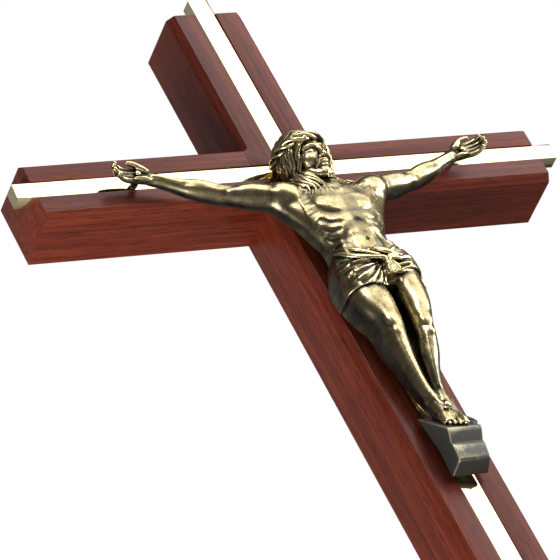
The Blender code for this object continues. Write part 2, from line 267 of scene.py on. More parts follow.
def baked(obj):
    """Replaces the object's mesh by what its modifiers make of it."""
    graph = bpy.context.evaluated_depsgraph_get()
    graph.update()
    mesh = bpy.data.meshes.new_from_object(obj.evaluated_get(graph))
    old = obj.data
    obj.modifiers.clear()
    obj.data = mesh
    bpy.data.meshes.remove(old)


def carve(target, cutters):
    for cutter in cutters:
        step = target.modifiers.new("cut", "BOOLEAN")
        step.operation = "DIFFERENCE"
        step.solver = "EXACT"
        step.object = cutter
    baked(target)


def soften(target, width, segments):
    step = target.modifiers.new("soften", "BEVEL")
    step.width = width
    step.segments = segments
    step.limit_method = "ANGLE"
    step.angle_limit = SOFTENED_ABOVE
    step.harden_normals = False
    baked(target)
    target.data.polygons.foreach_set("use_smooth", [True] * len(target.data.polygons))
    target.data.set_sharp_from_angle(angle=SHARP_ABOVE)


def finish_piece(piece, mat, replaces):
    piece.data.materials.clear()
    piece.data.materials.append(mat)
    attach(piece, "root")
    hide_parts(replaces)


def edge_cutter(side_x, side_z):
    """The corner quarter that the edge cutter takes off, with a round path in the inner corner."""
    end_x, end_z = EDGE_CUTTER_REACH
    rings = []
    wide, tip = INNER_CORNER_RADIUS, EDGE_CUTTER_TIP_RADIUS
    for depth, radius in ((-CUT, wide), (0.0, wide), (EDGE_CHAMFER, tip)):
        reach = EDGE_CHAMFER - depth
        near_x = UPRIGHT_WIDTH / 2 - reach
        near_z = CROSS_WIDTH / 2 - reach
        ring = []
        for i in range(INNER_CORNER_STEPS + 1):
            a = math.pi + math.pi / 2 * i / INNER_CORNER_STEPS
            ring.append((near_x + radius * (1 + math.cos(a)), near_z + radius * (1 + math.sin(a))))
        ring += [(end_x, near_z), (end_x, end_z), (near_x, end_z)]
        rings.append([Vector((side_x * x, FRONT_Y + depth, side_z * z)) for x, z in ring])
    bm = bmesh.new()
    skin(bm, rings)
    return object_from("edge_cutter", bm)


def crossed_pair(kind, half_u, half_c, front, back, ends_z, half_span, edges=(), grooves=()):
    """Half-lapped upright and cross piece, cut by edges and grooves, the first groove in the upright only."""
    mid = (front + back) / 2
    upright = box_object("upright_" + kind, (-half_u, front, ends_z[0]), (half_u, back, ends_z[1]))
    cross = box_object("cross_" + kind, (-half_span, front, -half_c), (half_span, back, half_c))
    off_upright = box_object("cutter", (-half_u - CUT, mid, -half_c - SEAM),
                             (half_u + CUT, back + CUT, half_c + SEAM))
    off_cross = box_object("cutter", (-half_u - SEAM, front - CUT, -half_c - CUT),
                           (half_u + SEAM, mid + SEAM, half_c + CUT))
    carve(upright, [*edges, off_upright, *grooves])
    carve(cross, [*edges, off_cross, *grooves[1:]])
    for cutter in (*edges, off_upright, off_cross, *grooves):
        bpy.data.objects.remove(cutter, do_unlink=True)
    return upright, cross


def make_wood():
    edges = [edge_cutter(side_x, side_z) for side_x in (-1, 1) for side_z in (-1, 1)]
    groove_y = FRONT_Y + GROOVE_DEPTH
    half_gu = UPRIGHT_GROOVE_WIDTH / 2
    half_gc = CROSS_GROOVE_WIDTH / 2
    grooves = [
        box_object("cutter", (-half_gu, FRONT_Y - CUT, BOTTOM_Z - CUT), (half_gu, groove_y, TOP_Z + CUT)),
        box_object("cutter", (-HALF_SPAN - CUT, FRONT_Y - CUT, -half_gc),
                   (HALF_SPAN + CUT, groove_y, half_gc)),
    ]
    ends_z = (BOTTOM_Z, TOP_Z)
    upright, cross = crossed_pair("wood", UPRIGHT_WIDTH / 2, CROSS_WIDTH / 2, FRONT_Y, 0.0, ends_z,
                                  HALF_SPAN, edges, grooves)
    for piece in (upright, cross):
        soften(piece, ARRIS, 3)
    finish_piece(upright, wood_material("stained_wood_upright", 2, 0.0), "upright_beam")
    finish_piece(cross, wood_material("stained_wood_cross", 0, 3.0), "cross_beam")


def make_bars(mat):
    front = FRONT_Y + BAR_RECESS
    half_u = UPRIGHT_GROOVE_WIDTH / 2 - BAR_PLAY
    half_c = CROSS_GROOVE_WIDTH / 2 - BAR_PLAY
    pair = crossed_pair("bar", half_u, half_c, front, front + BAR_DEPTH, (BAR_BOTTOM_Z, BAR_TOP_Z),
                        BAR_HALF_SPAN)
    for piece, name in zip(pair, ("upright_inlay", "cross_inlay")):
        soften(piece, BAR_ARRIS, 2)
        finish_piece(piece, mat, name)


# Casting: a field in millimetres, negative inside, meshed on a lattice. Rows are (x, d, z, radius, radius),
# with one radius where the rod is round

FAR = 50.0
MILLIMETRE = 0.001
CORNERS = np.array([(i, j, k) for i in (0, 1) for j in (0, 1) for k in (0, 1)])
EDGES = [(a, b) for a in range(8) for b in range(a + 1, 8) if abs(CORNERS[a] - CORNERS[b]).sum() == 1]
TRIANGLES = 194000

# Steps, blocks, reach and bounds of the lattice, depths at which a drawing looks for the skin, how far the
# pins reach in, and how much bare skin is smoothed
STEP = 0.19
LARGEST_BLOCK = 8
HALF_DIAGONAL = 0.866
SAFETY = 2.2
MARGIN = 0.05
FRONT_DEPTHS = (20.0, 1.0, -0.1)
LATTICE_LOW = (-68.5, -3.6, -129.0)
LATTICE_HIGH = (68.5, 22.0, 6.0)
PIN_END = -2.96
CALMING = 2.4
CALMING_SHARE = 0.7

# Patina with painted light: relief in millimetres that takes it from dark to bright, and rounds of smoothing
# that find it; front faces are painted lighter and the hair's sides get painted highlights
FINE_RANGE = 0.20
BROAD_RANGE = 1.6
FINE_ROUNDS = 6
BROAD_ROUNDS = 40
FACING_ROUNDS = 12
# Painted light: faces turned to the front lighter and sides darker, as the front light falls, on top of the
# rubbing
FRONT_RUBBED_AND_LIT = 0.34
PALM_DARKER = 0.14
# Painted highlight on the sides of the hair
HAIR_PAINTED_HIGHLIGHT = 0.16
BLOCK_DARKER = 0.24

# Foot block: its top edge at the back, how its top slopes forward, and where its front starts
BLOCK_TOP = -104.0
BLOCK_TOP_DEPTH = 2.6
BLOCK_SLOPE = 0.76
BLOCK_FRONT_TOP = -115.6

# Bounds of the bare skin out along the arm and up the body, and how far the chest is smoothed beside the rest
BARE_ARM = (13.0, 14.5, 49.0, 51.0)
BARE_CHEST = (-42.5, -41.0, -23.5, -22.0)
BARE_LEGS = (-99.0, -97.0, -65.5, -64.0)
CHEST_SHARE = 0.75

# Where the arm starts beside the chest, below which height it is the chest again, and where the palm starts
ARM_FROM = 13.5
ARMPIT_HEIGHT = -28.0
PALM_FROM = 54.0

# Across a rod that runs sideways
UP = (0, 0, 1)


def spline(rows, steps):
    """Points on a smooth curve through the rows."""
    rows = np.array(rows, float)
    ends = np.vstack([2 * rows[0] - rows[1], rows, 2 * rows[-1] - rows[-2]])
    out = []
    for i in range(1, len(ends) - 2):
        a, b, c, d = ends[i - 1:i + 3]
        for t in np.arange(steps) / steps:
            curve = 2 * b + (c - a) * t + (2 * a - 5 * b + 4 * c - d) * t * t
            out.append(0.5 * (curve + (3 * b - a - 3 * c + d) * t ** 3))
    out.append(rows[-1])
    return np.array(out)


def turned(x=0.0, d=0.0, z=0.0):
    """Rotation by degrees about each axis of the casting's space."""
    about_x = Matrix.Rotation(math.radians(x), 3, "X")
    about_d = Matrix.Rotation(math.radians(d), 3, "Y")
    about_z = Matrix.Rotation(math.radians(z), 3, "Z")
    return np.array(about_d @ about_z @ about_x)


def ellipse_distance(offset, radii):
    whole = np.sqrt(((offset / radii) ** 2).sum(1)) + 1e-9
    slope = np.sqrt(((offset / radii ** 2).astype(np.float32) ** 2).sum(1)) + 1e-9
    return whole * (whole - 1.0) / slope


def faded(value, start, full):
    """None up to the start, one from full on, in either direction."""
    return np.clip((value - start) / (full - start), 0, 1)


def within(value, span):
    """One between the middle two of four bounds, fading to none at the outer two."""
    return faded(value, span[0], span[1]) * faded(value, span[3], span[2])


def segment_distance(points, start, end):
    axis = end - start
    offset = points - start
    share = np.clip(offset @ axis / (axis @ axis), 0.0, 1.0)
    return np.sqrt(((offset - share[:, None] * axis) ** 2).sum(1))


def inside_box(points, low, high):
    """Indices of the points, sorted by height, that lie in a box."""
    a, b = np.searchsorted(points[:, 2], (low[2], high[2]))
    part = points[a:b]
    keep = (part[:, 0] > low[0]) & (part[:, 0] < high[0])
    keep &= (part[:, 1] > low[1]) & (part[:, 1] < high[1])
    return a + np.flatnonzero(keep)


class Ellipsoid:
    def __init__(self, centre, radii, turn=None):
        self.centre = np.array(centre, float)
        self.radii = np.array(radii, float)
        self.turn = np.eye(3) if turn is None else turn
        reach = np.sqrt(((self.turn * self.radii) ** 2).sum(1))
        self.low = self.centre - reach
        self.high = self.centre + reach

    def distance(self, points, margin):
        return ellipse_distance((points - self.centre) @ self.turn, self.radii)


class Combed(Ellipsoid):
    """Hair over the skull, combed from the parting to both sides in wavy strands."""

    def distance(self, points, margin):
        local = (points - self.centre) @ self.turn
        share = local / self.radii
        around = np.arctan2(share[:, 1], share[:, 2]) + 0.07 * np.sin(0.9 * local[:, 0] + 0.5 * local[:, 2])
        open_share = np.hypot(share[:, 1], share[:, 2]) / (np.linalg.norm(share, axis=1) + 1e-9)
        clumps = np.abs(np.sin(9.0 * around + 0.6))
        strands = np.abs(np.sin(30.0 * around))
        return ellipse_distance(local, self.radii) - open_share * (0.42 * clumps + 0.16 * strands - 0.35)


class Rod:
    """Round or oval rod through rows, domed at both ends, with strands combed along it where asked."""

    def __init__(self, rows, across=(1, 0, 0), steps=3, dome=0.7, strands=0, groove=0.0, twist=0.0):
        rows = [tuple(row) + (row[3],) if len(row) == 4 else tuple(row) for row in rows]
        self.rows = spline(rows, steps)
        self.rows[:, 3:] = np.maximum(self.rows[:, 3:], 0.05)
        self.across = np.array(across, float)
        self.dome = dome
        self.strands = strands
        self.groove = groove
        self.twist = twist
        self.run = np.concatenate([
            [0.0], np.cumsum(np.linalg.norm(np.diff(self.rows[:, :3], axis=0), axis=1))])
        widest = self.rows[:, 3:].max(1)[:, None]
        self.low = (self.rows[:, :3] - widest).min(0)
        self.high = (self.rows[:, :3] + widest).max(0)

    def combed(self, local, radii, along):
        """How far strands stand out of the rod: round backs with sharp grooves, finer where it thins."""
        angle = np.arctan2(local[:, 1], local[:, 0]) + self.twist * along
        share = radii.mean(1) / self.rows[:, 3:].mean(1).max()
        return self.groove * share * (np.abs(np.sin(angle * self.strands / 2)) - 0.5)

    def distance(self, points, margin):
        best = np.full(len(points), FAR)
        last = len(self.rows) - 2
        for i in range(last + 1):
            start, end = self.rows[i], self.rows[i + 1]
            wide = max(start[3:].max(), end[3:].max()) + margin
            low = np.minimum(start[:3], end[:3]) - wide
            high = np.maximum(start[:3], end[:3]) + wide
            index = inside_box(points, low, high)
            if len(index) == 0:
                continue
            axis = end[:3] - start[:3]
            length = np.linalg.norm(axis)
            axis = axis / length
            first = self.across - axis * (self.across @ axis)
            first = first / np.linalg.norm(first)
            second = np.cross(axis, first)
            offset = points[index] - start[:3]
            along = offset @ axis
            share = np.clip(along / length, 0.0, 1.0)
            radii = start[3:] + (end[3:] - start[3:]) * share[:, None]
            beyond = along - share * length
            is_end = ((beyond < 0) & (i == 0)) | ((beyond > 0) & (i == last))
            cap = radii.min(1) * np.where(is_end, self.dome, 0.3)
            local = np.stack([offset @ first, offset @ second, beyond], 1)
            value = ellipse_distance(local, np.column_stack([radii, cap]))
            if self.strands:
                value -= self.combed(local, radii, self.run[i] + share * length)
            best[index] = np.minimum(best[index], value)
        return best


class Line:
    """Distance from a bare curve, for strokes."""

    def __init__(self, rows):
        self.rows = spline(rows, 4)
        self.low = self.rows.min(0)
        self.high = self.rows.max(0)

    def distance(self, points, margin):
        best = np.full(len(points), FAR)
        for start, end in zip(self.rows, self.rows[1:]):
            best = np.minimum(best, segment_distance(points, start, end))
        return best


class Pin:
    """Straight pin along d."""

    def __init__(self, x, z, radius, d_from, d_to):
        self.place = np.array((x, z))
        self.radius = radius
        self.ends = (d_from, d_to)
        self.low = np.array((x - radius, d_from, z - radius))
        self.high = np.array((x + radius, d_to, z + radius))

    def distance(self, points, margin):
        across = np.hypot(points[:, 0] - self.place[0], points[:, 2] - self.place[1]) - self.radius
        return np.maximum(across, np.maximum(self.ends[0] - points[:, 1], points[:, 1] - self.ends[1]))


class Block:
    """Foot block: a profile of (d, z, half width) whose sides also hollow and flare with height and depth."""

    def __init__(self, profile):
        self.profile = np.array(profile, float)
        half = self.profile[:, 2].max()
        self.low = np.array((-half, self.profile[:, 0].min(), self.profile[:, 1].min()))
        self.high = np.array((half, self.profile[:, 0].max(), self.profile[:, 1].max()))

    def distance(self, points, margin):
        spot = points[:, 1:]
        inside = np.zeros(len(points), bool)
        best = np.full(len(points), FAR)
        corners = self.profile[:, :2]
        for a, b in zip(corners, np.roll(corners, -1, axis=0)):
            best = np.minimum(best, segment_distance(spot, a, b))
            if a[1] != b[1]:
                crossing = a[0] + (spot[:, 1] - a[1]) * (b[0] - a[0]) / (b[1] - a[1])
                inside ^= ((a[1] > spot[:, 1]) != (b[1] > spot[:, 1])) & (spot[:, 0] < crossing)
        flat = np.where(inside, -best, best)
        half = np.interp(points[:, 2], (-126.0, -120.0, -115.0, -104.0), (5.4, 5.6, 6.0, 7.2))
        half = half + 0.9 * faded(points[:, 1], 7.6, 2.0) * faded(points[:, 2], -117.0, -126.0)
        side = np.abs(points[:, 0]) - half
        return blend_max(flat, side, 0.6)


def blend_min(a, b, blend):
    if blend <= 0:
        return np.minimum(a, b)
    near = np.maximum(blend - np.abs(a - b), 0.0) / blend
    return np.minimum(a, b) - near * near * blend * 0.25


def blend_max(a, b, blend):
    return -blend_min(-a, -b, blend)


def wall_depths(points):
    """Depth of the widest section, behind which the sides run straight back, and of the flat back."""
    out_along = np.abs(points[:, 0])
    on_arm = (out_along > ARM_FROM) & (points[:, 2] > ARMPIT_HEIGHT)
    middle = np.interp(points[:, 2], WALL_HEIGHTS[::-1], WALL_MIDDLES[::-1])
    back = np.interp(points[:, 2], WALL_HEIGHTS[::-1], WALL_BACKS[::-1])
    middle = np.where(on_arm, np.interp(out_along, ARM_REACHES, ARM_MIDDLES), middle)
    back = np.where(on_arm, np.interp(out_along, ARM_REACHES, ARM_BACKS), back)
    return middle, back


class Form:
    """A solid described by what is joined to it, cut from it and drawn on it, in order."""

    def __init__(self, walled=False):
        self.steps = []
        self.walled = walled

    def join(self, shape, blend):
        self.steps.append(("join", shape, blend))

    def cut(self, shape, blend):
        self.steps.append(("cut", shape, blend))

    def stroke(self, rows, height, width):
        """Ridge of a height, or groove where it is negative, along a curve on the skin."""
        self.steps.append(("stroke", Line(rows), (height, width)))

    def blob(self, centre, radii, blend, turn=None):
        self.join(Ellipsoid(centre, radii, turn), blend)

    def rod(self, rows, blend, **settings):
        self.join(Rod(rows, **settings), blend)

    def draw(self, path, height, width):
        """A stroke along a path of (x, z) seen from the front."""
        self.stroke(self.front(path), height, width)

    def value(self, points, reach):
        order = np.argsort(points[:, 2])
        points = points[order]
        if self.walled:
            middle, back = wall_depths(points)
            behind = back - points[:, 1]
            points = np.column_stack([points[:, 0], np.maximum(points[:, 1], middle), points[:, 2]])
        field = np.full(len(points), FAR)
        for kind, shape, size in self.steps:
            if isinstance(shape, Form):
                field = blend_min(field, shape.value(points, reach), size)
                continue
            margin = 2.3 * size[1] if kind == "stroke" else reach + size
            index = inside_box(points, shape.low - margin, shape.high + margin)
            if len(index) == 0:
                continue
            distance = shape.distance(points[index], margin)
            if kind == "join":
                field[index] = blend_min(field[index], distance, size)
            elif kind == "cut":
                field[index] = blend_max(field[index], -distance, size)
            else:
                raise_by = size[0] * np.exp(-(distance / size[1]) ** 2)
                if self.walled:
                    raise_by *= np.clip((points[index, 1] - middle[index]) / 1.2, 0.0, 1.0)
                field[index] -= raise_by
        if self.walled:
            field = blend_max(field, behind, 0.12)
        out = np.empty_like(field)
        out[order] = field
        return out

    def front(self, path):
        """Where a drawing of (x, z) seen from the front lies on the skin."""
        path = spline(path, 4) if len(path) > 2 else spline(path, 6)
        depths = np.arange(*FRONT_DEPTHS)
        grid = np.array([(x, d, z) for x, z in path for d in depths])
        value = self.value(grid, 1.0).reshape(len(path), len(depths))
        first = np.argmax(value < 0, axis=1)
        return [(x, depths[i], z) for (x, z), i in zip(path, first)]


def lattice_mesh(form, low, high, step):
    """Vertices and quads of the form's skin, found block by block, then cell by cell."""
    low = np.array(low, float)
    size = LARGEST_BLOCK
    count = np.ceil((np.array(high) - low) / (step * size)).astype(int)
    cells = np.stack(np.meshgrid(*[np.arange(n) for n in count], indexing="ij"), -1).reshape(-1, 3) * size
    while True:
        reach = SAFETY * HALF_DIAGONAL * size * step + MARGIN
        value = form.value(low + (cells + size / 2) * step, reach)
        cells = cells[np.abs(value) < reach]
        if size == 1:
            break
        size //= 2
        cells = (cells[:, None, :] + size * CORNERS[None]).reshape(-1, 3)

    span = int(count.max()) * LARGEST_BLOCK + 4

    def key(place):
        return (place[..., 0] * span + place[..., 1]) * span + place[..., 2]

    corners = cells[:, None, :] + CORNERS[None]
    unique, back = np.unique(key(corners).ravel(), return_inverse=True)
    spots = np.stack([unique // (span * span), unique // span % span, unique % span], 1)
    value = form.value(low + spots * step, SAFETY * step + MARGIN)[back].reshape(-1, len(CORNERS))
    mixed = (value < 0).any(1) & (value >= 0).any(1)
    cells, value = cells[mixed], value[mixed]
    order = np.argsort(key(cells))
    cells, value = cells[order], value[order]
    keys = key(cells)

    total = np.zeros((len(cells), 3))
    hits = np.zeros(len(cells))
    for a, b in EDGES:
        crossing = (value[:, a] < 0) != (value[:, b] < 0)
        share = value[crossing, a] / (value[crossing, a] - value[crossing, b])
        total[crossing] += CORNERS[a] + share[:, None] * (CORNERS[b] - CORNERS[a])
        hits[crossing] += 1
    verts = low + (cells + total / hits[:, None]) * step

    quads = []
    for axis in range(3):
        step_a = np.eye(3, dtype=int)[axis]
        step_b = np.eye(3, dtype=int)[(axis + 1) % 3]
        step_c = np.eye(3, dtype=int)[(axis + 2) % 3]
        other = int(np.flatnonzero((CORNERS == step_a).all(1))[0])
        crossing = np.flatnonzero((value[:, 0] < 0) != (value[:, other] < 0))
        around = [cells[crossing] - step_b - step_c, cells[crossing] - step_c, cells[crossing],
                  cells[crossing] - step_b]
        found = [np.minimum(np.searchsorted(keys, key(place)), len(keys) - 1) for place in around]
        good = np.all([keys[f] == key(place) for f, place in zip(found, around)], axis=0)
        quad = np.stack(found, 1)[good]
        outward = (value[crossing[good], 0] < 0)
        quad[outward] = quad[outward][:, ::-1]
        quads.append(quad)
    return verts, np.vstack(quads)


def hollows_and_ridges(verts, quads):
    """How far each vertex stands out of its surroundings, finely and broadly, and how far it faces front."""
    pairs = np.vstack([quads[:, [i, (i + 1) % 4]] for i in range(4)])
    pairs = np.vstack([pairs, pairs[:, ::-1]])
    degree = np.bincount(pairs[:, 0], minlength=len(verts))[:, None]
    a, b, c, d = (verts[quads[:, i]] for i in range(4))
    flat = np.cross(c - a, d - b)
    sums = [np.bincount(quads.ravel(), np.repeat(flat[:, i], 4), len(verts)) for i in range(3)]
    normal = np.stack(sums, 1)
    normal /= np.linalg.norm(normal, axis=1)[:, None] + 1e-12

    def smoothed(values, rounds):
        for _ in range(rounds):
            sums = [np.bincount(pairs[:, 0], column[pairs[:, 1]], len(verts)) for column in values.T]
            values = np.stack(sums, 1) / degree
        return values

    fine = smoothed(verts, FINE_ROUNDS)
    broad = smoothed(fine, BROAD_ROUNDS)
    out = []
    for base in (fine, broad):
        height = ((base - verts) * normal).sum(1)[:, None]
        out.append(smoothed(height, 2)[:, 0])
    facing = smoothed(-normal[:, 1:2], FACING_ROUNDS)[:, 0]
    return out[0], out[1], facing, smoothed


def limb_share(verts, facing):
    """One where bare skin faces the front, to be smoothed; none on hair, cloth, hands, feet and rims."""
    x, _, z = verts.T
    out_along = np.abs(x)
    trunk = np.maximum(within(z, BARE_CHEST) * CHEST_SHARE, within(z, BARE_LEGS))
    share = np.where(out_along > BARE_ARM[0], within(out_along, BARE_ARM), trunk)
    return share * faded(facing, 0.0, 0.3)


def on_block(verts):
    """One on the rough foot block, none elsewhere."""
    _, d, z = verts.T
    under_feet = (z < BLOCK_TOP) & (d < BLOCK_TOP_DEPTH - BLOCK_SLOPE * (z - BLOCK_TOP))
    return (under_feet | (z < BLOCK_FRONT_TOP)).astype(float)


def rubbing_and_painted_light(verts, facing):
    """How the casting is rubbed, with painted light: faces turned to the front painted lighter and sides
    darker as the front light falls, darker in the palms, and painted highlights all round on the hair.
    """
    x, d, z = verts.T
    palm = (np.abs(x) > PALM_FROM) & (d < 7.2)
    hair = (z > -20.0) & (np.abs(x) < 13.0)
    # Painted light: faces turned to the front lighter and sides darker, as the front light falls, on top of
    # the rubbing
    front = FRONT_RUBBED_AND_LIT * (np.clip(facing, -0.1, 1.0) - 0.5)
    # Painted highlight on the sides of the hair; darker in the palms
    return front - PALM_DARKER * palm + HAIR_PAINTED_HIGHLIGHT * hair * (1.0 - facing)


def lay_patina_and_painted_light(mesh, verts, fine, broad, facing):
    """Two point layers for the material: how far each place is rubbed, with painted light on front faces and
    hair, and where the cast skin is rough.
    """
    calm = np.clip((facing + 0.1) / 0.5, 0.15, 1.0)
    rough = on_block(verts)
    relief = 0.5 + calm * fine / FINE_RANGE + broad / BROAD_RANGE
    # Patina from the relief, plus painted light: front faces lighter, sides darker, painted highlights on the
    # hair
    raised_and_lit = relief + rubbing_and_painted_light(verts, facing) - BLOCK_DARKER * rough
    for name, values in (("raised_and_lit", np.clip(raised_and_lit, 0, 1)), ("rough", rough)):
        layer = mesh.attributes.new(name, "FLOAT", "POINT")
        layer.data.foreach_set("value", values.astype(np.float32))


def cast_object(name, form, low, high, step):
    """The form's skin, calmed where it is bare, thinned to the triangles asked for, with its patina and
    painted light.
    """
    verts, quads = lattice_mesh(form, low, high, step)
    _, _, facing, smoothed = hollows_and_ridges(verts, quads)
    share = limb_share(verts, facing)[:, None]
    for _ in range(int(CALMING / step)):
        verts = verts + share * CALMING_SHARE * (smoothed(verts, 1) - verts)
    fine, broad, facing, _ = hollows_and_ridges(verts, quads)
    mesh = bpy.data.meshes.new(name)
    place = np.column_stack([verts[:, 0], FRONT_Y / MILLIMETRE - verts[:, 1], verts[:, 2]]) * MILLIMETRE
    mesh.vertices.add(len(verts))
    mesh.vertices.foreach_set("co", place.astype(np.float32).ravel())
    mesh.loops.add(4 * len(quads))
    mesh.loops.foreach_set("vertex_index", quads.astype(np.int32).ravel())
    mesh.polygons.add(len(quads))
    mesh.polygons.foreach_set("loop_start", np.arange(0, 4 * len(quads), 4, dtype=np.int32))
    mesh.update(calc_edges=True)
    mesh.validate()
    piece = bpy.data.objects.new(name, mesh)
    bpy.context.scene.collection.objects.link(piece)
    share = TRIANGLES / (2 * len(quads))
    if share < 1:
        thin = piece.modifiers.new("thin", "DECIMATE")
        thin.ratio = share
    baked(piece)
    mesh = piece.data
    mesh.polygons.foreach_set("use_smooth", [True] * len(mesh.polygons))
    tree = KDTree(len(place))
    for i, spot in enumerate(place.tolist()):
        tree.insert(spot, i)
    tree.balance()
    nearest = [tree.find(vertex.co)[1] for vertex in mesh.vertices]
    lay_patina_and_painted_light(mesh, verts[nearest], fine[nearest], broad[nearest], facing[nearest])
    return piece


# Rows of the limbs and the foot block
TORSO = [
    (0, 7.6, -14.5, 4.2, 3.6), (0, 8, -17.4, 9, 4.2), (0, 8.4, -20.2, 12.6, 5), (0.1, 8.8, -25, 12.9, 6),
    (0.3, 9, -31, 11.9, 6.2), (0.8, 8.9, -37, 10.2, 5.7), (1.3, 8.4, -42.5, 9.1, 5),
    (1.9, 8.4, -47.5, 10, 5.3), (1.7, 8.2, -53.5, 12, 6), (1.5, 7.2, -57.5, 11, 4.4),
]
LEFT_LEG = [
    (-5.6, 7.4, -56, 6.9, 6.4), (-5.8, 8.2, -62, 6.4, 6), (-5, 9, -68, 5.2, 5),
    (-4.4, 9.2, -73.5, 4.3, 4.3), (-4.6, 8.2, -80, 3.4, 4.1), (-4.1, 7, -88, 2.6, 3.5),
    (-2.9, 6, -96, 2.2, 2.7), (-1.4, 5.6, -101, 2.3, 2.5),
]
RIGHT_LEG = [
    (8.4, 7.8, -56, 6.4, 6.2), (8.2, 8.8, -63, 5.2, 5.2), (7.4, 9.2, -69, 4.3, 4.5),
    (6.4, 9, -74.5, 3.6, 3.9), (5.6, 7.8, -80.5, 3.3, 3.8), (3.9, 6.2, -88, 2.8, 3.2),
    (2.9, 4.8, -95.5, 2.2, 2.5), (2.8, 4.2, -101, 2.3, 2.4),
]
LEFT_FOOT = [
    (-1.3, 5.3, -100.5, 2.3, 2.5), (-1.1, 5.9, -104, 2.6, 2.3), (-1, 7.4, -107.5, 3.1, 1.9),
    (-0.9, 8.7, -110.4, 3.4, 1.3), (-0.9, 9.5, -112, 3.2, 0.9),
]
RIGHT_FOOT = [
    (3.2, 4, -101, 2.4, 2.4), (3.4, 4.8, -106, 2.6, 1.9), (3.2, 7.4, -111, 2.8, 1.4),
    (3, 9, -113.8, 2.6, 1),
]
ARM = [
    (13.5, 8.4, -19.4, 4.4, 4.2), (17.5, 8.2, -17.9, 4.1, 3.9), (23, 7.4, -16.4, 3.4, 3.4),
    (29, 6.6, -14.8, 3.2, 3.2), (34.5, 6, -12.9, 2.9, 2.9), (39, 5.7, -11, 3, 2.9),
    (44.5, 5.3, -8.4, 2.6, 2.4), (50, 5.1, -5.6, 2, 1.8), (54, 5.2, -3.9, 2.1, 1.45),
]
FINGERS = [
    [(58.8, 5, -4, 0.92), (61.6, 5.3, -3.9, 0.9), (63.9, 6.4, -3.5, 0.82), (64.9, 7.9, -3.1, 0.7)],
    [(59.2, 5, -2.7, 0.94), (62.4, 5.4, -2.5, 0.92), (65, 6.7, -2.1, 0.84), (66.1, 8.4, -1.7, 0.72)],
    [(59.4, 5, -1.4, 0.94), (62.6, 5.5, -1.1, 0.92), (65, 6.8, -0.7, 0.84), (66, 8.5, -0.3, 0.72)],
    [(59, 5.1, -0.2, 0.9), (61.9, 5.6, 0.2, 0.88), (64.1, 6.8, 0.7, 0.78), (65.1, 8.2, 1, 0.66)],
]
FOOT_BLOCK = [
    (2, -104, 7.2), (10.2, -114.8, 6), (10.9, -115.8, 5.9), (10.6, -117, 5.8), (8.7, -119.8, 5.6),
    (9, -121.2, 5.6), (8.2, -125.2, 5.4), (7.6, -126, 5.4), (2.6, -127.4, 6.3), (2, -126.8, 6.4),
]
HAIR_CAP = ((-0.6, -1.8, 2.3), (7.9, 8.3, 8.4))
HEAD_CENTRE = np.array((-1.5, 9.4, -5))
HEAD_TURN = turned(x=-12, d=-8, z=-9)

# Down the body and out along the arm: depth of the widest section, and of the flat back
WALL_HEIGHTS = (-14, -20, -31, -40, -46, -52, -62, -73, -80, -88, -96, -101, -106)
WALL_MIDDLES = (7.6, 8.2, 8.8, 8.3, 8, 7.9, 8.2, 8.8, 7.8, 6.5, 5.4, 4.9, 5.2)
WALL_BACKS = (4.6, 5, 5.2, 4.9, 3.2, 2, 1.9, 2.6, 2.7, 2.7, 2.5, 2.3, 2.3)
ARM_REACHES = (13.5, 23, 29, 34.5, 39, 44.5, 50, 55)
ARM_MIDDLES = (8, 6.4, 5.4, 4.8, 4.5, 4.2, 4.4, 4.6)
ARM_BACKS = (5, 4.8, 4.2, 3.7, 3.4, 3.3, 3.5, 3.9)


def from_head(rows):
    """Rows given in the head's own space, before it leans, turns and nods."""
    rows = np.array(rows, float)
    return [tuple(np.append(HEAD_CENTRE + HEAD_TURN @ row[:3], row[3:])) for row in rows]


def head_rod(rows, across=(1, 0, 0), **settings):
    return Rod(from_head(rows), across=HEAD_TURN @ np.array(across, float), **settings)


class HeadForm(Form):
    """A form whose blobs, rods and lines are given in the head's own space."""

    def blob(self, centre, radii, blend):
        self.join(Ellipsoid(HEAD_CENTRE + HEAD_TURN @ np.array(centre, float), radii, HEAD_TURN), blend)

    def rod(self, rows, blend, *across, **settings):
        self.join(head_rod(rows, *across, **settings), blend)

    def line(self, rows, height, width):
        self.stroke(from_head(rows), height, width)


def mirrored(side, rows):
    return [(side * row[0],) + tuple(row[1:]) for row in rows]


def add_torso(body):
    """Trunk and neck, with chest, sides, belly, collar bones and the muscle webs to the arms."""
    body.rod(TORSO, 0, steps=4)
    body.rod([(-0.4, 8.2, -11, 3.3, 3.2), (-0.1, 8.2, -19, 4.4, 3.8)], 2)
    for side in (-1, 1):
        body.blob((side * 5.6 + 0.1, 11.5, -27), (6.2, 3.2, 4.4), 2, turned(d=side * -14))
        body.blob((side * 12, 8.2, -23), (3, 3.8, 5), 2.4)
        body.blob((side * 10.4, 7.6, -31), (2.4, 4.2, 6.5), 2, turned(d=side * 8))
        body.blob((side * 2.6 + 1, 11.1, -41), (2.9, 2.2, 6.4), 2.2)
        body.blob((side * 7.4 + 1.4, 9.2, -44.6), (2.6, 3.4, 3.4), 2)
        collar = [
            (side * 1.6, 11.8, -22.3, 0.5), (side * 5.5, 11.9, -21.2, 0.4), (side * 10.5, 11.3, -18.9, 0.5),
        ]
        body.rod(collar, 1.9)
        body.rod([(side * 1, 11.6, -22, 0.5), (side * 2.6, 10.9, -16.5, 0.7),
                  (side * 4.4, 8.8, -11.5, 0.8)], 1.4)
        web = mirrored(side, [
            (19.5, 7.4, -19.4, 2), (14.6, 7.8, -24, 3.3), (11, 7.8, -31, 3.2), (9, 7.8, -39, 1.7),
            (8.2, 7.8, -46, 1.2),
        ])
        body.rod(web, 2)
    body.stroke([(-0.3, 12.4, -21.2), (0.3, 12.4, -21.2)], -0.45, 1)


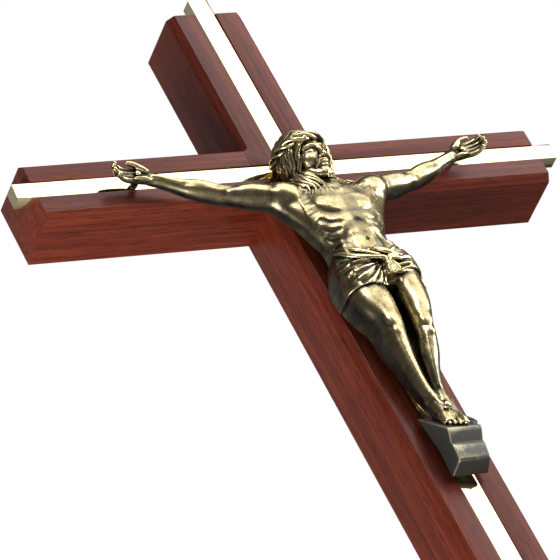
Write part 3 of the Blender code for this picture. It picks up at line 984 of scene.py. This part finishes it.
def carve_torso(body):
    """Muscle edges, ribs and navel, drawn from the front."""
    body.draw([(0.1, -24.5), (0, -27.5), (-0.4, -31.5)], -0.18, 0.9)
    body.draw([(-0.4, -31.5), (-0.2, -36), (0.5, -41)], -0.2, 0.85)
    body.draw([(1.2, -43.8), (1.6, -48)], -0.16, 0.9)
    for side in (-1, 1):
        edge = [
            (side * 1.2 - 0.3, -31.4), (side * 3.6, -31.8), (side * 6.6, -31), (side * 9.4, -28.6),
            (side * 10.8, -25.4),
        ]
        body.draw(edge, -0.22, 0.9)
        body.draw([(x, z + 1.4) for x, z in edge[1:4]], 0.14, 1.1)
        body.draw([(side * 2.4, -23.9), (side * 6.4, -23.5), (side * 10.4, -21.6)], -0.08, 1.3)
        arch = [
            (side * 1.3 - 0.3, -34.2), (side * 4, -36.4), (side * 6.2 + 0.2, -39.4),
            (side * 7.6 + 0.6, -42.6),
        ]
        body.draw(arch, 0.17, 0.9)
        body.draw([(x - side * 0.6, z - 1.5) for x, z in arch], -0.18, 1.1)
        ribs = (
            [(side * 4.8, -34), (side * 7.4, -33.3), (side * 10, -31)],
            [(side * 5.8, -36.2), (side * 8.2, -35.8), (side * 10.2, -33.8)],
            [(side * 7, -38.6), (side * 8.6, -38.2), (side * 10, -36.6)],
            [(side * 8 + 0.3, -41), (side * 9.2 + 0.3, -40.6), (side * 10 + 0.3, -39.4)],
        )
        for i, rib in enumerate(ribs):
            body.draw(rib, 0.19 - 0.02 * i, 0.75)
            body.draw([(x, z - 1.25) for x, z in rib], -0.11, 0.6)
        for x, z in ((2.3, -37.4), (2.6, -40.4)):
            body.draw([(side * 0.9 + 0.3, z), (side * x + 0.4, z - 0.2)], -0.12, 0.7)
        body.draw([(side * 4.8 + 0.9, -41), (side * 5.2 + 1.2, -44.4), (side * 4.4 + 1.5, -48)], -0.2, 1)
        nipple = body.front([(side * 6.2 + 0.1, -28.6), (side * 6.3 + 0.1, -28.65)])[0]
        body.blob(nipple, (0.42, 0.26, 0.38), 0.3)
        body.draw([(side * 12, -25), (side * 12.6, -21.6), (side * 11.6, -18.2)], -0.16, 1.2)
    navel = body.front([(1, -42.3), (1, -42.35)])[0]
    body.stroke([(0.3, navel[1], -42.2), (1, navel[1] + 0.1, -41.5), (1.7, navel[1], -42.2)], 0.16, 0.42)
    body.cut(Ellipsoid(navel, (0.5, 0.7, 0.58)), 0.4)


def add_arm(body, side):
    """Arm to the wrist, with its muscles, sinew and the grooves between them."""
    body.rod(mirrored(side, ARM), 1.6, across=UP, steps=4)
    body.blob((side * 15.4, 9, -18.2), (4.6, 3.4, 3.9), 2.2, turned(d=side * -18))
    body.blob((side * 23.4, 8.4, -15.7), (6, 2.3, 2.5), 1.8, turned(d=side * -16))
    body.blob((side * 24.6, 6.6, -17.6), (6.2, 2.4, 2.1), 1.8, turned(d=side * -16))
    body.blob((side * 34.6, 5.4, -13.9), (1.8, 1.9, 1.5), 1.4)
    body.blob((side * 38.4, 6.5, -10.6), (6.2, 2, 1.9), 1.6, turned(d=side * -24))
    body.blob((side * 39, 5.5, -12.3), (6.2, 2, 1.5), 1.6, turned(d=side * -24))
    wrist = mirrored(side, [(43.5, 7.3, -8.6, 0.35), (49, 6.8, -5.7, 0.35), (53.4, 6.5, -3.9, 0.38)])
    body.rod(wrist, 0.7, across=UP)
    body.stroke([(side * 30, 9.3, -12.9), (side * 32.4, 8.9, -13.4), (side * 34, 8.4, -14.6)], -0.26, 0.8)
    body.stroke([(side * 19.2, 11.4, -15), (side * 20.4, 11.2, -17.6), (side * 20.6, 10, -20)], -0.22, 1.1)
    body.stroke([(side * 20.6, 10.2, -18.4), (side * 26, 9.4, -16.8), (side * 31, 8.4, -15.2)], -0.26, 0.8)
    body.stroke([(side * 35, 8.6, -12.4), (side * 40, 8, -10.9), (side * 45, 7.4, -8.9)], -0.2, 0.6)


def make_hand(side):
    """Open hand with the palm to the front, the fingers curling forward and the nail through its middle."""
    hand = Form()
    palm = [
        (52, 5.1, -4.7, 1.9, 1.4), (55, 5, -3.5, 2.4, 1.35), (58, 4.8, -2.4, 2.75, 1.2),
        (60.2, 5, -1.8, 2.6, 1.05),
    ]
    hand.rod(mirrored(side, palm), 0, across=UP)
    hand.blob((side * 56.2, 6.4, -0.9), (2.6, 1.3, 1.2), 0.5, turned(d=side * -38))
    hand.blob((side * 57, 6, -4.5), (3, 1.2, 0.9), 0.5, turned(d=side * -16))
    hand.cut(Ellipsoid((side * 58.4, 7.3, -2.6), (2.5, 1.7, 1.5), turned(d=side * -22)), 0.35)
    for finger in FINGERS:
        hand.rod(mirrored(side, finger), 0.06, across=UP, dome=0.9)
    thumb = [(55.4, 6.1, -1.2, 1), (57.4, 6.8, 0.2, 0.95), (59.2, 7.3, 0.8, 0.85), (60.8, 7.6, 1, 0.62)]
    hand.rod(mirrored(side, thumb), 0.3, across=UP, dome=0.9)
    hand.rod([(side * 58, 4.8, -2.5, 0.55), (side * 58, 6.5, -2.5, 0.55)], 0.1, across=UP)
    hand.blob((side * 58, 6.7, -2.5), (0.95, 0.5, 0.95), 0.06)
    return hand


def add_legs(body):
    """Legs with knees, calves, thighs and the ridges of the shins."""
    body.rod(LEFT_LEG, 1, steps=4)
    right = Form()
    right.rod(RIGHT_LEG, 0, steps=4)
    body.join(right, 0.35)
    for x, d, z, tilt in ((-5, 12.2, -73.4, 0), (6.6, 11.9, -74.4, 4)):
        body.blob((x, d, z), (2.1, 1.1, 2.4), 1.3, turned(d=tilt))
        body.blob((x, d - 0.4, z - 4.2), (1.1, 0.9, 1.5), 1)
        for side in (-1, 1):
            around = [
                (x + side * 2.3, d - 0.7, z + 1.6), (x + side * 2.6, d - 0.8, z - 0.8),
                (x + side * 1.3, d - 0.3, z - 2.9),
            ]
            body.stroke(around, -0.22, 0.8)
    body.blob((-5.7, 7.4, -80.6), (2.3, 3, 6.2), 1.3, turned(d=-9))
    body.blob((-3.1, 7.2, -80), (2, 2.8, 5.6), 1.3, turned(d=-6))
    body.blob((3.6, 6.8, -82), (1.8, 2.8, 5.4), 1.2, turned(d=12))
    body.blob((6.8, 6.6, -82.6), (1.8, 2.7, 5.8), 1.2, turned(d=14))
    body.blob((-8.6, 9.8, -63.5), (3.2, 2.9, 7), 1.8, turned(d=-8))
    body.blob((-3.4, 11.3, -66), (2.4, 2.2, 5.4), 1.8, turned(d=6))
    body.blob((8.8, 11.2, -65.6), (2.4, 2.3, 5.8), 1.8, turned(d=8))
    shin = [
        (-5.6, 11.5, -76.5, 0.35), (-5.8, 10.9, -81.5, 0.4), (-5.2, 9.9, -87, 0.4), (-4.2, 8.7, -92.2, 0.4),
        (-2.9, 7.8, -97.6, 0.4), (-1.6, 7.9, -102.4, 0.4), (-0.6, 8.6, -105.6, 0.4),
    ]
    body.rod(shin, 0.9)
    body.rod([(5, 11.2, -78, 0.4), (3.6, 9.1, -88, 0.4), (2.4, 7, -96.5, 0.4)], 0.9)


def make_feet():
    """Crossed feet on the block: the left one on top, with the nail through both."""
    feet = Form()
    feet.rod(RIGHT_FOOT, 0)
    for i in range(3):
        x = 4.1 + 0.95 * i
        feet.rod([
            (x - 0.5, 7.9 - 0.3 * i, -110.8 + 0.3 * i, 0.7), (x, 9.3 - 0.4 * i, -112.9 + 0.4 * i, 0.62),
            (x + 0.1, 10 - 0.4 * i, -114.3 + 0.5 * i, 0.52)], 0.15)
    feet.blob((5, 4.6, -101.2), (1.1, 1.2, 1.2), 0.6)
    upper = Form()
    upper.rod(LEFT_FOOT, 0, steps=4)
    sole = [
        (-1.2, 3.6, -100.5, 2.5, 1.6), (-1.2, 4.6, -104.5, 2.8, 1.8), (-1.1, 6.3, -108.5, 3.2, 1.4),
        (-1.1, 8, -111.4, 3, 0.8),
    ]
    upper.rod(sole, 0.8)
    upper.blob((-3, 5.2, -101.2), (0.9, 1.2, 1.2), 1.2)
    toes = [
        (-3.9, 7.7, -109.9, 0.62), (-2.8, 8.5, -110.8, 0.66), (-1.6, 9.2, -111.5, 0.68),
        (-0.3, 9.8, -112, 0.72), (1.4, 10.3, -112.1, 1),
    ]
    for x, d, z, radius in toes:
        length = 2.5 if radius > 0.9 else 2.2
        upper.rod([
            (x + 0.1, d - 0.7, z + 1.5, radius), (x, d + 0.5, z - 0.35 * length, radius),
            (x - 0.05, d + 1, z - length, radius * 0.86)], 0.08, dome=0.9)
        tip = (x - 0.05, d + 1.6, z - length + 0.25)
        upper.stroke([(tip[0] - 0.3, tip[1], tip[2]), (tip[0] + 0.3, tip[1], tip[2])], -0.12, 0.25)
    for x, d, z, radius in toes:
        upper.stroke([
            (0.55 * x - 0.5, 8.9, -108), (0.85 * x - 0.1, 9.2 + 0.1 * x, -109.2), (x, d + 0.6, z + 1.8)],
            0.15, 0.4)
    feet.join(upper, 0.12)
    feet.blob((-0.9, 10, -106.5), (1.3, 0.8, 1.3), 0.05, turned(x=-20))
    return feet


def make_cloth(body):
    """Loincloth: a shell on the hips, two band strands to a knot, fan folds and hanging ends."""
    cloth = Form()
    cloth.rod([(0.4, 8.2, -44.8, 11, 5), (0.7, 8, -50.5, 13.1, 6.6), (1, 8, -57, 13.8, 7.1)], 0, steps=4,
              dome=0.22)
    cloth.rod([(-5.6, 8, -52, 7, 6.2), (-5.8, 8.2, -56.5, 7.6, 6.8), (-5.9, 8.4, -61, 7.3, 6.7)], 0.8,
              dome=0.05)
    cloth.rod([(8.4, 8, -48, 6, 6), (8.6, 8.2, -52, 6.6, 6.7), (8.8, 8.4, -56.2, 6.5, 6.5)], 0.8, dome=0.08)
    cloth.blob((-3.4, 10.4, -57.4), (4.8, 4.7, 4.2), 1.2)
    cloth.rod([(12.4, 8.6, -49.5, 1.4, 2.4), (14, 8, -55, 1.2, 2.6), (15.4, 7.4, -59.4, 0.6, 1.6)], 0.8)
    knot = (1.3, 15.7, -52.3)
    folds = [
        ([(-9.9, -56.4), (-5.9, -55), (-3.1, -53.9), (-0.3, -52.8)], -0.8, 0.5),
        ([(-9.1, -60), (-5.9, -58.4), (-2.6, -55.6), (0.1, -53.2)], -0.85, 0.48),
        ([(-7.4, -53.2), (-4.4, -52.9), (-1.6, -52.4)], -0.55, 0.45),
        ([(-9.6, -58.3), (-6.2, -56.8), (-3.2, -54.9), (-0.6, -53.1)], 0.65, 0.48),
        ([(-7.9, -60.6), (-4.9, -58.9), (-2.2, -56.4), (0.1, -53.8)], 0.6, 0.42),
        ([(-9.4, -54.8), (-5.8, -54.1), (-2.6, -53.1)], 0.5, 0.5),
        ([(-9, -50.9), (-6.4, -51.4), (-3.4, -51.8)], 0.4, 0.6),
        ([(-9.4, -52.6), (-6.6, -52.6), (-4.4, -52.5)], -0.3, 0.5),
        ([(-5.4, -60.8), (-3.4, -59), (-1.4, -56.4), (0.2, -54.2)], -0.5, 0.4),
        ([(-3.4, -60.9), (-2, -58.2), (-0.4, -55)], 0.35, 0.5),
        ([(-1.4, -60.6), (-1, -57.3), (0.5, -54.2)], -0.7, 0.4),
        ([(3.6, -53.1), (6.4, -53.6), (10.6, -53)], -0.55, 0.48),
        ([(3.6, -54.2), (5.8, -55.2), (9, -55.2)], -0.45, 0.48),
        ([(3.6, -52.4), (7.4, -52.3), (12, -51.2)], 0.5, 0.5),
        ([(3.6, -53.8), (6.4, -54.4), (10.2, -54.2)], 0.42, 0.42),
        ([(-11.4, -58.8), (-9.4, -57.6), (-7.4, -57)], 0.22, 0.7),
        ([(-11.8, -54), (-10.4, -53.4)], -0.25, 0.7),
        ([(-10.6, -48.6), (-7.6, -49.6), (-4.6, -50.6)], -0.4, 0.45),
        ([(-10.8, -52.2), (-8.2, -51.4), (-5.6, -51.2)], 0.36, 0.6),
        ([(-11.2, -56.2), (-8.6, -54.4), (-5.2, -53.2)], -0.36, 0.5),
    ]
    deeper, narrower = 1.25, 0.95
    for path, height, width in folds:
        cloth.draw(path, deeper * height, narrower * width)
    upper = [
        (-8.9, 8.6, -42.4, 0.15), (-7.8, 10.9, -43.6, 0.55), (-5.4, 12.8, -45.6, 0.62),
        (-2.6, 14.2, -48, 0.62), (0.6, 15.3, -50.8, 0.65),
    ]
    cloth.rod(upper, 0.3, across=UP)
    lower = [
        (-10.3, 8.2, -43.4, 0.15), (-9.4, 10.9, -45.4, 0.7), (-7, 13, -48.3, 0.78),
        (-3.6, 14.6, -50.5, 0.75), (0.4, 15.5, -51.8, 0.7),
    ]
    cloth.rod(lower, 0.3, across=UP)
    cloth.stroke([(-9.8, 11.9, -44.6), (-6.6, 13.8, -47.6), (-2.8, 15.2, -50.2)], 0.18, 0.3)
    twist = [
        (-1.2, 13.4, -46.7, 0.35), (0.6, 14.3, -47.5, 0.8), (2.4, 15, -48.7, 1), (4.4, 15.4, -50.2, 0.95),
        (6.8, 15.2, -51.1, 0.6),
    ]
    cloth.rod(twist, 0.2, across=UP)
    cloth.stroke([(-0.8, 14.2, -47), (2.2, 15.9, -48.7), (5.8, 16, -50.9)], -0.3, 0.22)
    for drop in (0, 1.5):
        loop = [
            (3, 15.5, -51.8 - drop * 0.3, 0.6), (6.8, 15, -50.9 - drop, 0.75),
            (10.6, 13, -49.9 - 1.2 * drop, 0.8), (13.2, 9.8, -48.9 - 1.3 * drop, 0.8),
            (13.8, 7.6, -48.2 - drop, 0.7),
        ]
        cloth.rod(loop, 0.25, across=UP)
    hip = [(5.8, 14, -48.6, 0.45), (8.4, 13.2, -46.8, 0.75), (11, 11, -45.4, 0.85), (12.4, 8, -45.4, 0.7)]
    cloth.rod(hip, 0.25, across=UP)
    cloth.blob(knot, (1.9, 0.8, 0.85), 0.3, turned(d=24))
    flap = [(1.9, 15.6, -52.8, 0.8, 0.5), (1.6, 15.9, -55.2, 1.5, 0.5), (1.5, 15.9, -57.9, 2.1, 0.55)]
    cloth.rod(flap, 0.25)
    cloth.rod([(2.6, 15.4, -53.2, 0.8, 0.5), (3.6, 15.4, -55, 1.3, 0.5), (4.2, 15.2, -57, 1.7, 0.5)], 0.25)
    edge = [
        (-0.3, 16.1, -58.8, 0.4), (0.7, 16.8, -58.6, 0.4), (1.7, 16.2, -58.9, 0.4), (2.9, 16.6, -58.5, 0.4),
        (4.1, 16, -58.2, 0.4), (5.6, 15.6, -57.2, 0.4),
    ]
    cloth.rod(edge, 0.2)
    cloth.stroke([(1.5, 16.1, -53), (0.8, 16.3, -55.6), (0.2, 16.4, -58.4)], 0.42, 0.36)
    cloth.stroke([(2, 16.2, -53.4), (1.7, 16.4, -55.8), (1.5, 16.5, -58.4)], -0.42, 0.34)
    cloth.stroke([(2.4, 16.1, -53.2), (2.7, 16.2, -55.6), (2.8, 16.3, -58)], 0.38, 0.34)
    cloth.stroke([(2.9, 15.9, -53.8), (3.7, 15.9, -55.6), (4.1, 15.8, -57.6)], -0.36, 0.34)
    cloth.stroke([(3.2, 15.6, -53.4), (4.6, 15.5, -55.2), (5.3, 15.3, -56.8)], 0.34, 0.34)
    hem = cloth.front([(-12.4, -61.2), (-9, -61.9), (-6.6, -61.9), (-4, -61.5), (-1.4, -60.8), (0.6, -60)])
    cloth.stroke(hem, 0.32, 0.36)
    cloth.draw([(3.2, -58.6), (6.6, -57.2), (10.4, -56.4)], 0.28, 0.36)
    body.join(cloth, 0.12)


def add_head(body):
    """Head with a plain face of even proportions, beard and hair, and the locks on the shoulders."""
    head = HeadForm()
    head.blob((0, -0.6, 1.6), (5.6, 6.7, 6.2), 0)
    head.rod([
        (0, 1.9, 1.6, 4.8, 4.8), (0, 2, -1.4, 4.9, 4.6), (0, 2.3, -4.4, 4.1, 4.4), (0, 3, -7, 2.5, 3.3)], 1)
    for side in (-1, 1):
        head.rod([(side * 4.5, 0.4, -2.6, 0.9), (side * 3.7, 2.6, -5.6, 0.9), (side * 1.4, 5, -7.6, 0.9)],
                 1.3)
        head.blob((side * 3, 4.1, -2.4), (2.3, 1.7, 2.2), 1.8)
        head.rod([(side * 4.1, 4.8, 1.1, 0.5), (side * 2.4, 6.2, 1.5, 0.6), (side * 0.7, 6.7, 1.1, 0.5)],
                 0.8, UP)
        socket = from_head([(side * 2.25, 7.5, -0.1)])[0]
        head.cut(Ellipsoid(socket, (1.6, 1.15, 0.95), HEAD_TURN), 1)
        head.blob((side * 2.3, 5.2, -0.3), (1.35, 1, 0.8), 0.35)
    head.rod([(0, 6.2, 1.3, 0.6, 0.6), (0, 7.1, -0.8, 0.6, 0.7), (0, 8, -2.5, 0.8, 0.8)], 0.6)
    head.blob((0, 8.1, -2.75), (0.85, 0.8, 0.7), 0.4)
    head.blob((0, 5.6, -5), (2.2, 1.5, 1.7), 1)
    head.blob((0, 5.7, -7.4), (1.6, 1.3, 1.2), 0.9)
    for side in (-1, 1):
        head.blob((side * 0.95, 7.2, -3), (0.55, 0.8, 0.5), 0.3)
        head.line([(side * 1.1, 6.3, -0.6), (side * 2.3, 6.55, -0.95), (side * 3.5, 5.7, -0.6)], -0.28,
                  0.22)
        head.line([(side * 1, 6.3, 0.1), (side * 2.3, 6.4, 0.55), (side * 3.6, 5.5, 0.2)], -0.22, 0.25)
    head.rod([(-1.2, 6.7, -5, 0.25), (0, 7.2, -4.85, 0.36), (1.2, 6.7, -5, 0.25)], 0.2, UP)
    head.rod([(-1, 6.6, -5.75, 0.3), (0, 7.1, -5.85, 0.42), (1, 6.6, -5.75, 0.3)], 0.2, UP)
    head.line([(-1.4, 6.8, -5.4), (0, 7.4, -5.35), (1.4, 6.8, -5.4)], -0.3, 0.2)
    add_beard(head)
    head.join(make_hair(), 0.1)
    body.join(head, 0.5)
    locks = Form()
    add_locks(locks)
    body.join(locks, 0.15)


def add_beard(head):
    """Short beard in tufts along the jaw, and a moustache."""
    head.rod([
        (-4.7, 0.9, -3.2, 0.8), (-3.9, 3, -6, 1), (-1.8, 4.9, -8, 1.2), (0, 5.6, -8.5, 1.3),
        (1.8, 4.9, -8, 1.2), (3.9, 3, -6, 1), (4.7, 0.9, -3.2, 0.8)], 0.8, (0, 1, 0))
    tufts = 7
    for side in (-1, 1):
        for i in range(tufts):
            a = i / (tufts - 1)
            x, d, z = 4.7 - 4.2 * a ** 1.2, 1 + 5 * a, -3.2 - 4.4 * a
            sway = 0.35 * math.sin(2.3 * i)
            rows = [
                (side * x, d - 0.2, z + 0.4, 0.5), (side * (x + 0.1), d + 0.5, z - 1, 0.85),
                (side * (x * 0.94 + sway * 0.3), d + 0.4, z - 2.3 - 0.3 * a, 0.3),
            ]
            head.rod(rows, 0.15, strands=5, groove=0.3, twist=0.8)
        whisker = mirrored(side, [
            (0.2, 7, -4, 0.5), (1.5, 6.6, -4.4, 0.55), (2.6, 5.5, -5.6, 0.45), (2.9, 4.8, -7, 0.3),
        ])
        head.rod(whisker, 0.25, strands=4, groove=0.22, twist=0.5)


def on_skull(direction, lift):
    """Place on the hair cap in a direction of the head's own space."""
    radii = np.array(HAIR_CAP[1]) + lift
    direction = np.array(direction, float)
    size = 1 / np.sqrt(((direction / radii) ** 2).sum())
    return np.array(HAIR_CAP[0]) + direction * size


def make_hair():
    """Hair round the skull, open at the face, under a twisted band."""
    hair = HeadForm()
    hair.join(Combed(HEAD_CENTRE + HEAD_TURN @ np.array(HAIR_CAP[0]), HAIR_CAP[1], HEAD_TURN), 0.3)
    hair.blob((0, -2.8, -3.4), (6.2, 4.2, 7.4), 0.8)
    opening = [(0, 7.4, 4.4, 3.8, 4.4), (0, 7.2, 1.6, 6, 6.2), (0, 7, -3, 6.3, 6.6), (0, 7, -9, 6.3, 6.6)]
    hair.cut(head_rod(opening), 0.5)
    band_strands, band_turns, band_steps = 3, 4, 88
    for strand in range(band_strands):
        rows = []
        for i in range(band_steps + 1):
            a = math.tau * i / band_steps
            phase = band_turns * a + math.tau * strand / band_strands
            lift = 0.4 + 0.5 * math.sin(phase)
            rise = 0.95 * math.cos(phase)
            tilt = 3.5 + 1.4 * math.cos(a)
            out = on_skull((math.sin(a), math.cos(a), (tilt - HAIR_CAP[0][2]) / HAIR_CAP[1][2]), lift)
            rows.append((out[0], out[1], tilt + rise, 0.6 + 0.1 * math.sin(2 * a + strand)))
        hair.rod(rows, 0.06, UP, steps=1)
    return hair


def add_locks(locks):
    """Wavy locks that leave the temples under the band and fall on the shoulders."""
    left = [
        ([(-6.4, 2.8, 4), (-7.4, 1.9, 1), (-7, 1.2, -2), (-7.2, 0, -4.8)],
         [(-8.6, 11.2, -13.2), (-7.6, 12.8, -16.2), (-5.6, 13.4, -19), (-4.6, 13.2, -21.6)]),
        ([(-7, 1.6, 3.8), (-7.9, 0.8, 0.6), (-7.4, 0.2, -2.6), (-7.5, -0.8, -5.4)],
         [(-9.6, 10.6, -13.8), (-9, 12.2, -16.4), (-7, 13.2, -18.8), (-6.4, 13.2, -21.4)]),
        ([(-7.4, 0.2, 3.4), (-8.3, -0.4, 0), (-7.8, -0.9, -3.2), (-7.6, -1.8, -6)],
         [(-10.4, 9.8, -14.4), (-10.2, 11.4, -16.6), (-8.6, 12.6, -18.6), (-8.6, 12.8, -20.8)]),
        ([(-7.6, -0.8, 3), (-8.4, -1.4, -0.6), (-7.8, -1.8, -3.8), (-7.4, -2.8, -6.4)],
         [(-10.6, 8.6, -14.6), (-11.2, 10.4, -16.4), (-10.6, 11.6, -18), (-11, 11.8, -19.6)]),
        ([(-7.2, -2.8, 2.4), (-8, -3.2, -1.2), (-7.2, -3.4, -4.4), (-6.6, -4, -7)],
         [(-10.4, 7.2, -14.2), (-11.6, 8.8, -15.6), (-12.4, 10, -16.8)]),
        ([(-5.8, 1.8, -3.6), (-6, 1.2, -6.2)],
         [(-6.6, 11.8, -13.2), (-4.8, 12.8, -15.8), (-3.2, 13.2, -18.2), (-3, 12.8, -20.4)]),
    ]
    right = [
        ([(6.2, 3, 4), (7.2, 2, 1), (7, 1.4, -2), (7, 0.4, -4.8)],
         [(5, 9.4, -13.4), (6.2, 10.8, -16), (6.4, 12, -18.4)]),
        ([(6.6, 3, 3.8), (7.5, 1.8, 0.6), (7.2, 1, -2.6), (7, -0.2, -5.4)],
         [(6.4, 8, -13.4), (8, 9.8, -15), (9.4, 11, -16.6)]),
        ([(7.2, 1, 3.2), (7.9, 0.2, 0), (7.4, -0.6, -3), (6.8, -1.4, -5.8)],
         [(7.2, 6.6, -13.2), (9.4, 7.9, -14.4), (11.2, 9.4, -15.2)]),
    ]
    for side in (-1, 1):
        hairline = mirrored(side, [
            (2.8, 6.7, 4.4, 0.55), (4.9, 4.9, 3, 0.8), (5.9, 3.5, 0.6, 0.85), (6, 2.7, -2.2, 0.85),
            (6.3, 1.4, -5, 0.8), (6.6, 0.2, -7.4, 0.55),
        ])
        locks.join(head_rod(hairline, steps=5, strands=5, groove=0.32, twist=0.35), 0.1)
    for group in (left, right):
        for n, (on_head, on_chest) in enumerate(group):
            path = [tuple(row) for row in from_head(on_head)] + on_chest
            rows = []
            for i, spot in enumerate(path):
                share = i / (len(path) - 1)
                swell = 0.75 + 0.35 * math.sin(math.pi * min(1, 1.4 * share))
                rows.append(tuple(spot) + (
                    1.3 * swell * (1 - 0.8 * share ** 3), 1 * swell * (1 - 0.8 * share ** 3)))
            locks.rod(rows, 0.1, across=(1, 0.4, 0), steps=6, strands=6, groove=0.42,
                      twist=0.16 * (-1) ** n)


def make_figure():
    """The whole casting, with pins under the hands and the block that seat in the bars."""
    core = Form(walled=True)
    add_torso(core)
    for side in (-1, 1):
        add_arm(core, side)
    add_legs(core)
    carve_torso(core)
    make_cloth(core)
    body = Form()
    body.join(core, 0)
    for side in (-1, 1):
        body.join(make_hand(side), 0.5)
    body.join(make_feet(), 0.5)
    add_head(body)
    body.join(Block(FOOT_BLOCK), 0.15)
    for side in (-1, 1):
        body.join(Pin(side * 56.5, -1.2, 1.2, PIN_END, 5.2), 0.1)
    body.join(Pin(0, -116, 1.5, PIN_END, 4), 0)
    return body


def make_casting():
    step = STEP
    piece = cast_object("cast_corpus", make_figure(), LATTICE_LOW, LATTICE_HIGH, step)
    finish_piece(piece, cast_material(), "corpus")


# Camera, light and floor

def make_camera():
    data = bpy.data.cameras.new("camera")
    camera = bpy.data.objects.new("camera", data)
    bpy.context.scene.collection.objects.link(camera)
    forward = Vector(CAMERA_FORWARD).normalized()
    right = Vector(CAMERA_DOWN).cross(forward).normalized()
    up = right.cross(forward)
    turn = Matrix((right, up, -forward)).transposed().to_4x4()
    turn.translation = Vector(CAMERA_PLACE)
    camera.matrix_world = turn
    data.sensor_width = SENSOR_WIDTH
    data.lens = SENSOR_WIDTH * FOCAL_PIXELS / IMAGE_PIXELS
    data.clip_start = 0.01
    data.clip_end = 50.0
    bpy.context.scene.camera = camera


def area_light(name, direction, distance, size, watts):
    """A round white soft light that shines on the crossing from a direction."""
    data = bpy.data.lights.new(name, "AREA")
    data.shape = "DISK"
    data.size = size
    data.energy = watts
    light = bpy.data.objects.new(name, data)
    bpy.context.scene.collection.objects.link(light)
    direction = Vector(direction).normalized()
    light.location = direction * distance
    light.rotation_euler = direction.to_track_quat("Z", "Y").to_euler()
    return light


def make_studio():
    """White to the camera, dim to the object with a paler card at the left, with four soft lights."""
    world = bpy.data.worlds.new("studio")
    bpy.context.scene.world = world
    world.use_nodes = True
    tree = world.node_tree
    tree.nodes.clear()
    seen = node(tree, "ShaderNodeLightPath").outputs["Is Camera Ray"]
    place = node(tree, "ShaderNodeTexCoord").outputs["Generated"]
    depth = node(tree, "ShaderNodeSeparateXYZ", {"Vector": place}).outputs["Y"]
    dim = mapped(tree, depth, 0.12, 0.05, -0.4, 0.5)
    toward = node(tree, "ShaderNodeVectorMath", {0: place, 1: (-0.51, 0.65, 0.56)}, operation="DOT_PRODUCT")
    card = mapped(tree, toward.outputs["Value"], 0.0, 0.22, 0.55, 0.95)
    soft, white = (node(tree, "ShaderNodeBackground", {"Color": (1.0, 1.0, 1.0, 1.0), "Strength": strength})
                   for strength in (maths(tree, "ADD", dim, card), 1.0))
    both = node(tree, "ShaderNodeMixShader", {0: seen, 1: soft.outputs[0], 2: white.outputs[0]})
    node(tree, "ShaderNodeOutputWorld", {"Surface": both.outputs[0]})
    area_light("softbox_front", (0.50, -0.66, 0.56), 1.6, 1.9, 20.0)
    area_light("key_right", (0.90, -0.42, 0.05), 1.5, 0.5, 14.0)
    area_light("low_left", (-0.77, -0.04, -0.63), 1.5, 0.8, 16.0)
    glint = area_light("glint_left", (-0.22, -0.86, 0.44), 1.6, 0.6, 9.0)
    glint.visible_diffuse = False
    bm = bmesh.new()
    bmesh.ops.create_grid(bm, x_segments=8, y_segments=8, size=4.0)
    floor = object_from("floor", bm)
    floor.location.z = -1.4
    floor.data.materials.append(floor_material())
    bpy.context.scene.view_settings.view_transform = "Standard"
    bpy.context.scene.view_settings.look = "None"


make_camera()
make_studio()
make_wood()
make_bars(brass_material())
make_casting()
